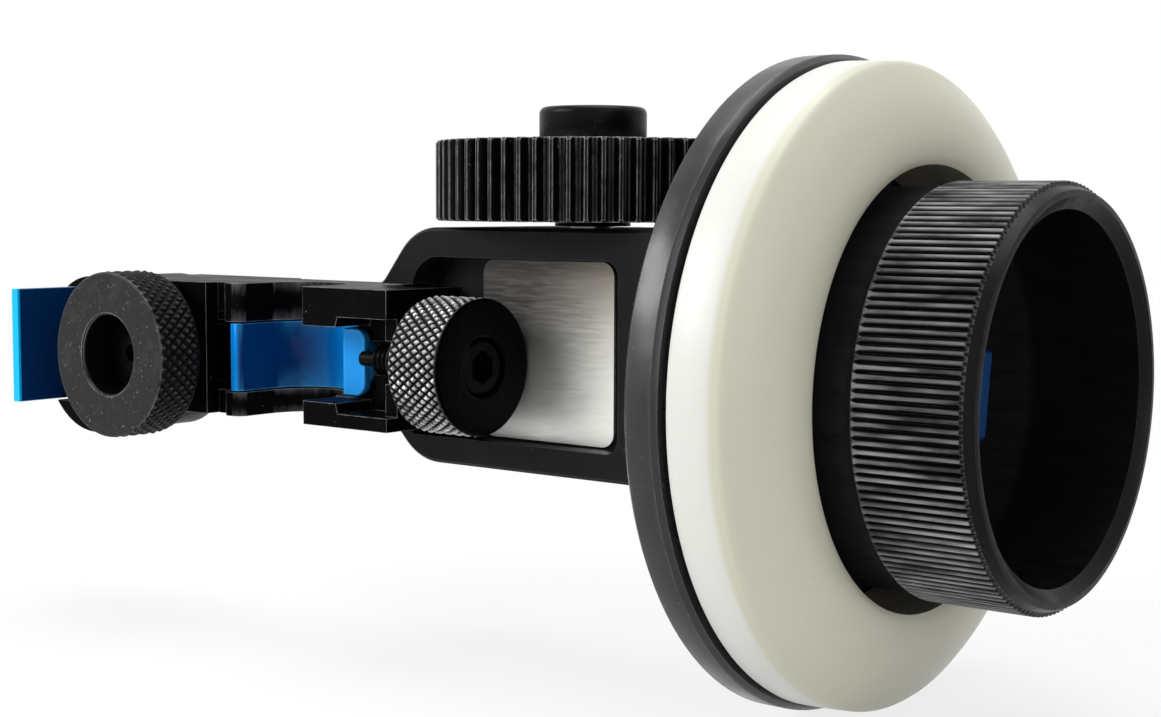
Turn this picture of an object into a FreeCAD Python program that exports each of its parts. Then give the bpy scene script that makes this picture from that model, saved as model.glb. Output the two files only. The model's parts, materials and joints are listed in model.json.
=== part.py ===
"""Follow focus unit for 15 mm rods: hand wheel, mitre gearbox, drive gear and rod clamp.

Frame, in millimetres: +X points out of the hand wheel along its axle, +Y points away from the
operator's side that carries the plate and the two lock knobs, and +Z runs along the rod.
The origin is the centre of the rod seat.
"""
import math
import os

import FreeCAD, Part
import Sketcher

doc = FreeCAD.newDocument("follow_focus")
sheet = doc.addObject("Spreadsheet::Sheet", "Sizes")

# ---------------------------------------------------------------- driving dimensions
SIZES = [
    # rod clamp
    ("rod_radius", 7.5, "radius of the rod that the seat takes"),
    ("arm_front", 7.5, "rod axis to the clamp's open front face"),
    ("arm_back", 13.0, "rod axis to the clamp's closed back face"),
    ("arm_top", 12.3, "top of the clamp arm"),
    ("arm_low", 9.9, "depth of the clamp arm below the seat's middle"),
    ("seam_x", 15.5, "rod axis to the seam between arm and bracket"),
    ("seam_gap", 0.15, "half of the seam between arm and bracket"),
    ("arm_end", 26.7, "rod axis to the arm's right end"),
    ("arm_heel", 13.7, "rod axis to where the arm gets thinner to enter the housing"),
    ("arm_tongue", 9.3, "rod axis to the back of the arm's tongue"),
    ("lip_round", 1.8, "rounding of the seat's left lip"),
    ("lip_wide", 3.3, "width of the seat's left lip"),
    ("lip_step", 2.4, "how far the face beside that lip is set back"),
    ("jaw_half", 5.6, "half height of the jaw in its slot"),
    ("slide_fit", 0.08, "clearance of sliding and running fits"),
    ("body_gap", 0.3, "clearance between pieces that pass each other"),
    # jaw
    ("jaw_wall", 1.9, "thickness of the jaw's upright wall"),
    ("jaw_front", 7.5, "rod axis to the front of the jaw's upright wall"),
    ("bar_front", 8.8, "rod axis to the front of the jaw's bar"),
    ("bar_thick", 3.8, "thickness of the jaw's bar"),
    ("jaw_end", 12.3, "rod axis to the right end of the jaw"),
    ("jaw_land", 5.2, "rod axis to the jaw's right end face"),
    ("neck_x", 29.0, "rod axis to where the bar gets its full height"),
    ("tab_half", 10.1, "half height of the thumb tab"),
    ("tab_x", 58.6, "rod axis to the thumb tab's outer face"),
    ("tab_thick", 1.7, "thickness of the thumb tab"),
    ("tab_front", 15.9, "rod axis to the thumb tab's front edge"),
    # bracket
    ("boss_x", 46.5, "rod axis to the round boss"),
    ("boss_z", -1.5, "height of the round boss's axis"),
    ("boss_radius", 14.0, "radius of the round boss"),
    ("boss_open", 46.5, "rod axis to where the boss is open for the tab"),
    ("boss_back", 12.5, "depth of the round boss's back face"),
    ("cover_thick", 2.0, "thickness of the jaw's keeper"),
    ("cover_screw_x", 21.5, "rod axis to the screws of the jaw's keeper"),
    # left knob
    ("jaw_knob_x", 27.0, "rod axis to the jaw knob"),
    ("jaw_knob_z", 0.15, "height of the jaw knob's axis"),
    ("jaw_knob_radius", 14.0, "radius of the jaw knob"),
    ("jaw_knob_front", 19.3, "rod axis to the jaw knob's face"),
    ("jaw_knob_thick", 8.8, "thickness of the jaw knob"),
    ("jaw_knob_bore", 6.8, "radius of the jaw knob's recess"),
    ("jaw_knob_hub", 7.0, "radius of the hub behind the jaw knob"),
    ("jaw_knob_floor", 2.6, "thickness of the floor of that recess"),
    ("jaw_screw_radius", 3.0, "radius of the jaw's lock screw"),
    ("knob_chamfer", 0.35, "chamfer at the rims of the two lock knobs"),
    # right knob
    ("pad_screw_y", -1.7, "depth of the pressure screw's axis"),
    ("pad_screw_z", 0.8, "height of the pressure screw's axis"),
    ("pad_screw_radius", 2.5, "radius of the pressure screw"),
    ("pad_flat", 10.7, "rod axis to the pad's flat face"),
    ("pad_front", -1.3, "depth of the pad's front face"),
    ("pad_thick", 6.2, "size of the pad front to back"),
    ("pad_half", 5.5, "radius of the pad's round end"),
    ("pad_tip", 0.5, "flat that the pad's round end has for the screw's tip"),
    ("shelf_depth", 2.4, "depth of the milled step round the pressure screw"),
    ("pad_room", 7.8, "depth of the open room in front of the pad"),
    ("shelf_half", 7.7, "half height of that opening at its right"),
    ("shelf_x", 15.4, "rod axis to where that opening gets taller"),
    ("shelf_start", 6.1, "half height of that opening beside the seat"),
    ("screw_slot_half", 3.4, "half height of the slot that the pressure screw lies in"),
    ("bush_long", 2.5, "length of the threaded bush"),
    ("pad_knob_x", 31.1, "rod axis to the back face of the pressure knob"),
    ("pad_knob_thick", 10.6, "thickness of the pressure knob"),
    ("pad_knob_radius", 10.7, "radius of the pressure knob"),
    ("cap_head_radius", 4.4, "radius of the pressure screw's head"),
    ("cap_head_high", 4.0, "height of that head"),
    ("hex_radius", 2.7, "corner radius of its hexagon socket"),
    # gearbox
    ("box_front", 4.9, "depth of the gearbox's front face"),
    ("box_back", 34.0, "depth of the gearbox's back face"),
    ("box_right", 87.3, "rod axis to the gearbox's right side"),
    ("box_top", 21.9, "top of the gearbox"),
    ("box_low", 15.9, "depth of the gearbox's underside"),
    ("foot_left", 11.0, "rod axis to the foot behind the arm"),
    ("shoulder_low", 13.0, "rod axis to the foot of the gearbox's sloping shoulder"),
    ("shoulder_top", 20.7, "rod axis to the top of that shoulder"),
    ("belly_left", 14.8, "rod axis to the start of the slope under the gearbox"),
    ("belly_right", 21.4, "rod axis to the end of that slope"),
    ("shoulder_foot", 3.5, "hollow at the foot of that shoulder"),
    ("corner_top", 10.0, "rounding of the gearbox's upper left corner"),
    ("corner_low", 10.0, "rounding of the gearbox's lower left corner"),
    ("edge_break", 0.5, "small edge chamfer"),
    ("recess_left", 20.4, "rod axis to the plate recess's left end"),
    ("recess_right", 62.4, "rod axis to the plate recess's right end"),
    ("recess_low", 11.6, "depth of the plate recess's lower edge"),
    ("recess_top", 17.2, "top of the plate recess"),
    ("recess_floor", 9.6, "depth of the plate recess's floor"),
    ("recess_round", 5.5, "rounding of the recess's upper left corner"),
    ("recess_corner", 2.4, "rounding of the recess's other corners"),
    ("plate_left", 32.1, "rod axis to the name plate's left edge"),
    ("plate_right", 58.4, "rod axis to the name plate's right edge"),
    ("plate_low", 11.3, "depth of the name plate's lower edge"),
    ("plate_top", 16.9, "top of the name plate"),
    ("plate_thick", 0.5, "thickness of the name plate"),
    ("plate_corner", 2.2, "rounding of the name plate's corners"),
    ("gear_room_left", 35.5, "rod axis to the gear chamber's left wall"),
    ("gear_room_right", 62.5, "rod axis to the gear chamber's right wall"),
    ("gear_room_front", 11.1, "depth of the gear chamber's front wall"),
    ("gear_room_low", 9.5, "depth of the gear chamber's floor"),
    ("gear_room_top", 12.9, "top of the gear chamber"),
    ("lid_thick", 3.0, "thickness of the gearbox's lid"),
    ("lid_margin", 6.0, "width of the lid beyond the gear chamber"),
    ("lid_margin_low", 4.0, "width of the lid above and below the gear chamber"),
    ("lid_corner", 3.0, "rounding of the lid's corners"),
    # axles and bushes
    ("axle_y", 19.5, "depth of the hand wheel's axle"),
    ("axle_radius", 4.0, "radius of the hand wheel's axle"),
    ("gear_x", 46.0, "rod axis to the drive gear's axis"),
    ("spindle_radius", 3.5, "radius of the drive gear's spindle"),
    ("bush_wall", 1.5, "wall of the bushes"),
    ("bush_flange", 1.5, "width of a bush's flange"),
    ("bush_flange_thick", 1.2, "thickness of a bush's flange"),
    ("axle_bush", 8.0, "length of an axle bush"),
    # mitre gears
    ("mitre_teeth", 20, "teeth of each mitre gear"),
    ("mitre_module", 0.75, "module of the mitre gears"),
    ("mitre_face", 3.0, "face width of the mitre gears"),
    ("mitre_hub_radius", 5.6, "hub radius of the mitre gears"),
    ("mitre_hub", 3.2, "hub length of the mitre gears"),
    ("mitre_backlash", 0.16, "backlash of the mitre gears"),
    # drive gear
    ("drive_teeth", 60, "teeth of the drive gear"),
    ("drive_module", 0.8, "module of the drive gear"),
    ("drive_low", 23.0, "height of the drive gear's underside"),
    ("drive_thick", 12.5, "thickness of the drive gear"),
    ("drive_bevel", 0.4, "bevel at the ends of the drive gear's teeth"),
    ("collar_radius", 6.0, "radius of the collar under the drive gear"),
    ("cap_radius", 8.5, "radius of the cap nut"),
    ("cap_high", 5.4, "height of the cap nut"),
    ("cap_round", 1.1, "rounding of the cap nut"),
    # hand wheel
    ("flange_gap", 0.5, "gap between the gearbox and the wheel's flange"),
    ("flange_back", "=box_right + flange_gap", "rod axis to the back of the wheel's flange"),
    ("flange_thick", 5.2, "thickness of the wheel's flange"),
    ("flange_radius", 47.0, "radius of the wheel's flange"),
    ("flange_bevel", 0.7, "bevel at the flange's rims"),
    ("knob_hub_radius", 27.4, "radius of the hand knob's smooth part"),
    ("knurl_radius", 29.1, "radius of the hand knob over its ridges"),
    ("knurl_start", 17.3, "flange face to the start of the ridges"),
    ("knurl_end", 32.7, "flange face to the end of the ridges"),
    ("knob_end", 34.4, "flange face to the hand knob's rim"),
    ("rim_radius", 28.1, "outer radius of the hand knob's rim"),
    ("cup_radius", 25.3, "inner radius of the hand knob"),
    ("cup_mouth", 26.9, "inner radius of the hand knob's rim"),
    ("cup_floor", 8.0, "flange face to the hand knob's floor"),
    ("cup_hollow", 2.0, "fillet at the hand knob's floor"),
    ("socket_half", 6.4, "half width of the square crank socket"),
    ("socket_face", 19.3, "flange face to the crank socket's face"),
    ("socket_hole", 3.2, "half width of the crank socket's hole"),
    ("socket_deep", 7.0, "depth of the crank socket's hole"),
    ("socket_turn", 82.0, "turn of the crank socket about the axle, in degrees"),
    # marking disc
    ("disc_gap", 0.8, "gap between flange and marking disc"),
    ("disc_back_radius", 46.0, "radius of the disc's back edge"),
    ("disc_rim_radius", 45.8, "radius of the disc's rim"),
    ("disc_rim", 7.9, "width of the disc's rim"),
    ("disc_shoulder", 11.9, "flange face to the disc's rounded shoulder"),
    ("disc_shoulder_radius", 41.2, "radius of that shoulder"),
    ("disc_high", 14.0, "flange face to the disc's hole edge"),
    ("disc_hole", 31.8, "radius of the disc's hole"),
    ("disc_round", 1.2, "rounding of the disc's edges"),
    ("magnet_radius", 2.5, "radius of the magnets"),
    ("magnet_thick", 2.0, "thickness of the magnets"),
    ("magnet_circle", 39.0, "radius of the circle of magnets"),
    ("magnet_count", 6, "magnets in each ring"),
    # fasteners
    ("small_screw", 1.5, "radius of the small screws"),
    ("small_head", 2.8, "radius of the small screws' heads"),
    ("small_head_high", 2.4, "height of the small screws' heads"),
    ("small_hex", 1.3, "corner radius of the small hexagon sockets"),
    ("lid_screw_long", 9.0, "length of the lid screws below their heads"),
    ("arm_screw", 2.0, "radius of the arm's screws"),
    ("arm_head", 3.5, "radius of the arm screws' heads"),
    ("arm_head_high", 4.0, "height of the arm screws' heads"),
    ("arm_screw_x", 22.8, "rod axis to the arm's screws"),
    ("arm_screw_z", 6.6, "height of the arm's screws above and below the middle"),
    ("arm_screw_seat", 14.0, "depth of the seat of the arm screws' heads"),
    ("arm_screw_tip", 2.0, "depth of the arm screws' tips"),
    ("bracket_screw_z", 7.9, "height of the bracket's screws above and below the middle"),
    ("bracket_screw_y", 1.0, "depth of the bracket's screws"),
    ("bracket_screw_seat", 32.0, "rod axis to the seat of the bracket screws' heads"),
    ("bracket_screw_tip", 10.2, "rod axis to the tips of the bracket's screws"),
    ("cover_screw", 1.0, "radius of the keeper's screws"),
    ("cover_screw_z", 8.2, "height of the keeper's screws above and below the middle"),
    ("cover_screw_long", 8.0, "length of the keeper's screws"),
    ("flange_screw_circle", 15.0, "radius of the circle of flange screws"),
    ("flange_screw_count", 3, "flange screws"),
    ("flange_screw_long", 9.5, "length of the flange screws"),
]
for row, (alias, value, meaning) in enumerate(SIZES, start=1):
    sheet.set("A%d" % row, alias)
    sheet.set("B%d" % row, str(value))
    sheet.set("C%d" % row, meaning)
    sheet.setAlias("B%d" % row, alias)
doc.recompute()


def size(alias):
    """A driving dimension's value, read from the sheet."""
    return float(sheet.get(alias))


class Names:
    """Turns size names in an expression into references to the sheet."""

    names = sorted((alias for alias, _, _ in SIZES), key=len, reverse=True)

    @classmethod
    def bound(cls, text):
        words = []
        word = ""
        for letter in str(text) + " ":
            if letter.isalnum() or letter == "_":
                word += letter
                continue
            words.append("Sizes." + word if word in cls.names else word)
            words.append(letter)
            word = ""
        return "".join(words).strip()


def bind(item, path, text):
    item.setExpression(path, Names.bound(text))


def number(text):
    """The present value of an expression in the sheet's sizes."""
    return float(sheet.evalExpression(Names.bound(text)))


# ---------------------------------------------------------------- sketches and features
NODES = {}
PLANE_NORMAL = {"XY_Plane": 1, "YZ_Plane": 1, "XZ_Plane": -1}


def new_body(label):
    body = doc.addObject("PartDesign::Body", "body_" + label)
    body.Label = label
    NODES[label] = body
    return body


def new_sketch(body, plane, level="0", across="0", up="0"):
    """A sketch on one of the body's own planes, moved along its normal and in its plane."""
    sketch = body.newObject("Sketcher::SketchObject", "profile")
    support = [part for part in body.Origin.OriginFeatures if part.Role == plane][0]
    sketch.AttachmentSupport = [(support, "")]
    sketch.MapMode = "FlatFace"
    sign = "" if PLANE_NORMAL[plane] > 0 else "-"
    bind(sketch, "AttachmentOffset.Base.z", "%s(%s)" % (sign, level))
    bind(sketch, "AttachmentOffset.Base.x", across)
    bind(sketch, "AttachmentOffset.Base.y", up)
    return sketch


def pin_point(sketch, item, end, across, up):
    """Constrains one point of a sketch to a place given by two expressions."""
    for kind, text in (("DistanceX", across), ("DistanceY", up)):
        index = sketch.addConstraint(Sketcher.Constraint(kind, -1, 1, item, end, number(text)))
        bind(sketch, "Constraints[%d]" % index, text)


def draw_polygon(sketch, corners):
    places = [FreeCAD.Vector(number(across), number(up), 0) for across, up in corners]
    first = sketch.GeometryCount
    count = len(corners)
    for i in range(count):
        sketch.addGeometry(Part.LineSegment(places[i], places[(i + 1) % count]), False)
    for i in range(count):
        sketch.addConstraint(
            Sketcher.Constraint("Coincident", first + i, 2, first + (i + 1) % count, 1))
    for i, (across, up) in enumerate(corners):
        pin_point(sketch, first + i, 1, across, up)


def draw_box(sketch, left, right, low, top):
    draw_polygon(sketch, [(left, low), (right, low), (right, top), (left, top)])


def draw_circle(sketch, across, up, radius):
    centre = FreeCAD.Vector(number(across), number(up), 0)
    item = sketch.addGeometry(Part.Circle(centre, FreeCAD.Vector(0, 0, 1), number(radius)), False)
    pin_point(sketch, item, 3, across, up)
    index = sketch.addConstraint(Sketcher.Constraint("Radius", item, number(radius)))
    bind(sketch, "Constraints[%d]" % index, radius)


def finish_feature(body, feature, adds):
    """Recomputes and makes sure that the feature changed the solid the way it should."""
    before = body.Shape.Volume if body.Shape and not body.Shape.isNull() else 0.0
    doc.recompute()
    after = feature.Shape.Volume
    if not feature.Shape.isValid() or (after <= before) == adds:
        raise RuntimeError("%s of %s changed nothing or failed" % (feature.Name, body.Label))
    body.Tip = feature
    return feature


def pad(body, plane, start, end, *profiles):
    """Adds the profiles' prism between two levels along the plane's axis."""
    sketch = new_sketch(body, plane, start)
    for draw, arguments in profiles:
        draw(sketch, *arguments)
    feature = body.newObject("PartDesign::Pad", "pad")
    feature.Profile = sketch
    feature.Reversed = PLANE_NORMAL[plane] < 0
    bind(feature, "Length", "(%s) - (%s)" % (end, start))
    return finish_feature(body, feature, True)


def pocket(body, plane, start, end, *profiles):
    """Cuts the profiles' prism away between two levels along the plane's axis."""
    sketch = new_sketch(body, plane, start)
    for draw, arguments in profiles:
        draw(sketch, *arguments)
    feature = body.newObject("PartDesign::Pocket", "pocket")
    feature.Profile = sketch
    feature.Reversed = PLANE_NORMAL[plane] > 0
    bind(feature, "Length", "(%s) - (%s)" % (end, start))
    return finish_feature(body, feature, False)


def polygon(*corners):
    return draw_polygon, (corners,)


def rectangle(left, right, low, top):
    return draw_box, (left, right, low, top)


def circle(across, up, radius):
    return draw_circle, (across, up, radius)


def turn(body, corners, axle="wheel"):
    """A solid of revolution. Corners are (place along the axis, radius) pairs."""
    if axle == "wheel":
        sketch = new_sketch(body, "XY_Plane", "0", "0", "axle_y")
        draw_polygon(sketch, corners)
        axis = "H_Axis"
    elif axle == "spindle":
        sketch = new_sketch(body, "XZ_Plane", "axle_y", "gear_x", "0")
        draw_polygon(sketch, [(radius, place) for place, radius in corners])
        axis = "V_Axis"
    elif axle == "jaw_screw":
        sketch = new_sketch(body, "XY_Plane", "jaw_knob_z", "-jaw_knob_x", "0")
        draw_polygon(sketch, [(radius, place) for place, radius in corners])
        axis = "V_Axis"
    else:
        sketch = new_sketch(body, "XY_Plane", "pad_screw_z", "0", "pad_screw_y")
        draw_polygon(sketch, corners)
        axis = "H_Axis"
    feature = body.newObject("PartDesign::Revolution", "turned")
    feature.Profile = sketch
    feature.ReferenceAxis = (sketch, [axis])
    feature.Angle = 360
    return finish_feature(body, feature, True)


def edges_where(shape, wanted):
    """Names of the edges whose middle and direction pass a test."""
    names = []
    for index, edge in enumerate(shape.Edges, start=1):
        middle = edge.valueAt((edge.FirstParameter + edge.LastParameter) / 2)
        ends = edge.Vertexes[-1].Point - edge.Vertexes[0].Point
        way = ends.normalize() if ends.Length > 1e-6 else FreeCAD.Vector()
        if wanted(edge, middle, way):
            names.append("Edge%d" % index)
    return names


def dress(body, kind, amount, wanted):
    """A fillet or chamfer on the edges of the body's last feature that pass a test."""
    base = body.Tip
    names = edges_where(base.Shape, wanted)
    if not names:
        raise RuntimeError("no edge to dress on %s" % body.Label)
    feature = body.newObject("PartDesign::" + kind, kind.lower())
    feature.Base = (base, names)
    bind(feature, "Radius" if kind == "Fillet" else "Size", amount)
    doc.recompute()
    if not feature.Shape.isValid() or feature.Shape.isNull():
        raise RuntimeError("%s of %s failed" % (kind, body.Label))
    body.Tip = feature
    return feature


def near(value, target, slack=0.02):
    return abs(value - target) < slack


def at_corner(corner_x, corner_z, slack=0.05):
    """Edges along Y through one place in the XZ plane."""
    def wanted(edge, middle, way):
        return (abs(way.y) > 0.99 and near(middle.x, number(corner_x), slack)
                and near(middle.z, number(corner_z), slack))
    return wanted


# ---------------------------------------------------------------- plain solids and groups
AXIS_TURN = {"X": (FreeCAD.Vector(0, 1, 0), 90), "Y": (FreeCAD.Vector(1, 0, 0), -90),
             "Z": (FreeCAD.Vector(0, 0, 1), 0)}


def rod(axis, start, end, radius, first, second):
    """A cylinder along an axis; first and second place it on the other two axes in X, Y, Z order."""
    item = doc.addObject("Part::Cylinder", "rod")
    bind(item, "Radius", radius)
    bind(item, "Height", "(%s) - (%s)" % (end, start))
    place = {"X": (start, first, second), "Y": (first, start, second), "Z": (first, second, start)}
    item.Placement = FreeCAD.Placement(FreeCAD.Vector(), FreeCAD.Rotation(*AXIS_TURN[axis]))
    for letter, text in zip("xyz", place[axis]):
        bind(item, "Placement.Base." + letter, text)
    return item


def hexagon(axis, start, end, radius, first, second):
    item = doc.addObject("Part::Prism", "hexagon")
    item.Polygon = 6
    bind(item, "Circumradius", radius)
    bind(item, "Height", "(%s) - (%s)" % (end, start))
    place = {"X": (start, first, second), "Y": (first, start, second), "Z": (first, second, start)}
    item.Placement = FreeCAD.Placement(FreeCAD.Vector(), FreeCAD.Rotation(*AXIS_TURN[axis]))
    for letter, text in zip("xyz", place[axis]):
        bind(item, "Placement.Base." + letter, text)
    return item


def joined(*items):
    item = doc.addObject("Part::MultiFuse", "joined")
    item.Shapes = list(items)
    return item


def without(base, tool):
    item = doc.addObject("Part::Cut", "cut")
    item.Base = base
    item.Tool = tool
    return item


def group(label, items):
    """One node that holds several equal solids."""
    item = doc.addObject("Part::Compound", "group_" + label)
    item.Links = list(items)
    item.Label = label
    NODES[label] = item
    return item


def single(label, item):
    item.Label = label
    NODES[label] = item
    return item


def cap_screw(axis, seat, out, head, high, tip, shank, socket, first, second):
    """A socket head screw. The head stands on seat towards out, which is 1 or -1 along the axis."""
    top = "(%s) + (%s)" % (seat, high) if out > 0 else "(%s) - (%s)" % (seat, high)
    deep = "(%s) - 0.55 * (%s)" % (top, high) if out > 0 else "(%s) + 0.55 * (%s)" % (top, high)
    ends = (seat, top) if out > 0 else (top, seat)
    shaft = (tip, seat) if out > 0 else (seat, tip)
    hole = (deep, top) if out > 0 else (top, deep)
    body = joined(rod(axis, ends[0], ends[1], head, first, second),
                  rod(axis, shaft[0], shaft[1], shank, first, second))
    return without(body, hexagon(axis, hole[0], hole[1], socket, first, second))


def solid_node(label, shape, place):
    """A node whose shape Part's own functions make from the sheet's sizes."""
    item = doc.addObject("Part::Feature", "shape_" + label)
    item.Shape = shape
    item.Label = label
    item.Placement = place
    NODES[label] = item
    return item


# ---------------------------------------------------------------- gear teeth
PRESSURE = math.radians(20)


def involute(angle):
    return math.tan(angle) - angle


def tooth_half(pitch_radius, teeth, thinning, radius):
    """Half the angle that a tooth fills at a radius, for an involute of the given pitch circle."""
    base = pitch_radius * math.cos(PRESSURE)
    slope = math.acos(min(1.0, base / max(radius, base)))
    at_pitch = math.pi / (2 * teeth) - thinning / (2 * pitch_radius)
    return at_pitch + involute(PRESSURE) - involute(slope)


def drive_gear_shape():
    """The spur gear, with involute flanks and bevelled tooth ends."""
    teeth, module = int(size("drive_teeth")), size("drive_module")
    pitch = teeth * module / 2
    tip, root = pitch + module, pitch - 1.25 * module
    steps = [root + 0.1 * module, pitch - 0.5 * module, pitch + 0.25 * module, tip]
    points = []
    for tooth in range(teeth):
        middle = 2 * math.pi * tooth / teeth
        halves = [tooth_half(pitch, teeth, 0.1 * module, radius) for radius in steps]
        foot = halves[0] + 0.1 * module / pitch
        flank = [(root, -foot)] + [(r, -h) for r, h in zip(steps, halves)]
        flank += [(r, h) for r, h in zip(reversed(steps), reversed(halves))] + [(root, foot)]
        points += [(r * math.cos(middle + a), r * math.sin(middle + a)) for r, a in flank]
    thick = size("drive_thick")
    corners = [FreeCAD.Vector(x, y, 0) for x, y in points]
    blank = Part.Face(Part.makePolygon(corners + corners[:1])).extrude(FreeCAD.Vector(0, 0, thick))
    bevel, inner = size("drive_bevel"), tip - size("drive_bevel")
    rim = [(0, 0), (inner, 0), (tip + 0.01, bevel), (tip + 0.01, thick - bevel), (inner, thick), (0, thick)]
    lines = [FreeCAD.Vector(r, 0, z) for r, z in rim]
    turned = Part.Face(Part.makePolygon(lines + lines[:1])).revolve(
        FreeCAD.Vector(), FreeCAD.Vector(0, 0, 1), 360)
    return blank.common(turned).cut(Part.makeCylinder(size("spindle_radius"), thick))


def mitre_gear_shape(bore, phase):
    """A 45 degree bevel gear about +Z, its cone's point at the origin and its teeth above it."""
    teeth, module = int(size("mitre_teeth")), size("mitre_module")
    pitch = teeth * module / 2
    cone = pitch * math.sqrt(2)
    small = 1 - size("mitre_face") / cone
    virtual = teeth * math.sqrt(2)
    rolling = pitch * math.sqrt(2)
    thinning = size("mitre_backlash")
    low = -1.25 * module
    half_root = math.sqrt(0.5)

    def outline(share):
        """The tooth's outline square to the pitch cone, at a share of the cone's length."""
        sides = []
        for height in (low - 0.25 * module, low, -0.4 * module, 0.3 * module, module):
            radius = rolling + height
            angle = tooth_half(rolling, virtual, thinning, radius)
            sides.append((radius * math.sin(angle), radius * math.cos(angle) - rolling))
        sides[0] = (sides[1][0], sides[0][1])
        loop = [(-w, h) for w, h in sides] + [(w, h) for w, h in reversed(sides)]
        corners = [FreeCAD.Vector((pitch + h * half_root) * share, w * share,
                                  (pitch - h * half_root) * share) for w, h in loop]
        return Part.makePolygon(corners + corners[:1])

    tooth = Part.makeLoft([outline(1.0), outline(small)], True, True)
    step = 360.0 / teeth
    root = low * half_root
    back = size("mitre_hub")
    blank = [(0, pitch * small - root * small), ((pitch + root) * small, (pitch - root) * small),
             (pitch + root, pitch - root), (pitch + root, pitch - root + 0.6),
             (size("mitre_hub_radius"), pitch - root + 1.2),
             (size("mitre_hub_radius"), pitch - root + back), (0, pitch - root + back)]
    lines = [FreeCAD.Vector(r, 0, z) for r, z in blank]
    body = Part.Face(Part.makePolygon(lines + lines[:1])).revolve(
        FreeCAD.Vector(), FreeCAD.Vector(0, 0, 1), 360)
    ring = []
    for index in range(teeth):
        copy = tooth.copy()
        copy.rotate(FreeCAD.Vector(), FreeCAD.Vector(0, 0, 1), step * (index + phase))
        ring.append(copy)
    gear = body.multiFuse(ring)
    return gear.cut(Part.makeCylinder(bore, 4 * pitch, FreeCAD.Vector(0, 0, -pitch)))


# ---------------------------------------------------------------- the rod clamp
def make_clamp_arm():
    """The arm's right half, with the open rod seat, the jaw's slot and the pad's pocket."""
    body = new_body("clamp_arm")
    left = "-seam_x + seam_gap"
    pad(body, "XY_Plane", "-arm_low", "arm_top",
        polygon((left, "-arm_front"), ("arm_end", "-arm_front"), ("arm_end", "arm_tongue"),
                ("arm_heel", "arm_tongue"), ("arm_heel", "arm_back"), (left, "arm_back")))
    # the open rod seat: a half round floor with straight walls
    pocket(body, "XY_Plane", "-arm_low - 1", "arm_top + 1", circle("0", "0", "rod_radius"))
    pocket(body, "XY_Plane", "-arm_low - 1", "arm_top + 1",
           rectangle("-rod_radius", "rod_radius", "-arm_front - 1", "0"))
    # the slot that the jaw slides in, open at the left and at both faces
    half = "jaw_half + body_gap"
    pocket(body, "XZ_Plane", "-arm_front - 1", "arm_back + 1",
           rectangle("-seam_x - 1", "jaw_end + body_gap", "-(%s)" % half, half))
    # the step in front of the pad
    for deep, right in (("shelf_depth", "arm_end + 1"), ("pad_room", "arm_end - bush_long")):
        pocket(body, "XZ_Plane", "-arm_front - 1", "-arm_front + " + deep,
               polygon(("rod_radius - 1", "-shelf_start"), ("shelf_x", "-shelf_start"),
                       ("shelf_x + edge_break", "-shelf_half"), (right, "-shelf_half"),
                       (right, "shelf_half"), ("shelf_x + edge_break", "shelf_half"),
                       ("shelf_x", "shelf_start"), ("rod_radius - 1", "shelf_start")))
    # the face beside the seat's left lip is set back
    pocket(body, "XZ_Plane", "-arm_front - 1", "-arm_front + lip_step",
           rectangle("-seam_x - 1", "-rod_radius - lip_wide", "-arm_low - 1", "arm_top + 1"))
    # the pad's pocket with its round end, and the slot of the pressure screw
    tall = "pad_half + body_gap"
    pocket(body, "XZ_Plane", "-arm_front - 1", "pad_front + pad_thick + body_gap",
           rectangle("rod_radius - 1", "pad_flat", "-(%s)" % tall, tall))
    sketch_hole(body, "XZ_Plane", "-arm_front - 1", "pad_front + pad_thick + body_gap",
                "pad_flat", "0", tall)
    pocket(body, "XZ_Plane", "-arm_front - 1", "pad_screw_y",
           rectangle("pad_flat", "arm_end + 1", "pad_screw_z - screw_slot_half",
                     "pad_screw_z + screw_slot_half"))
    sketch_hole(body, "YZ_Plane", "pad_flat", "arm_end + 1", "pad_screw_y", "pad_screw_z",
                "screw_slot_half")
    for sign in ("", "-"):
        sketch_hole(body, "XZ_Plane", "arm_screw_tip", "arm_back + 1", "arm_screw_x",
                    sign + "arm_screw_z", "arm_screw")
        sketch_hole(body, "YZ_Plane", "-seam_x - 1", "-bracket_screw_tip", "bracket_screw_y",
                    sign + "bracket_screw_z", "small_screw")
    dress(body, "Fillet", "lip_round", lambda edge, middle, way: (
        abs(way.z) > 0.99 and near(middle.x, -size("rod_radius"))
        and near(middle.y, -size("arm_front"))))
    dress(body, "Chamfer", "edge_break", lambda edge, middle, way: (
        abs(way.z) > 0.99 and near(middle.x, size("rod_radius"))
        and near(middle.y, -size("arm_front"))))
    return body


def sketch_hole(body, plane, start, end, across, up, radius):
    return pocket(body, plane, start, end, circle(across, up, radius))


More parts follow.
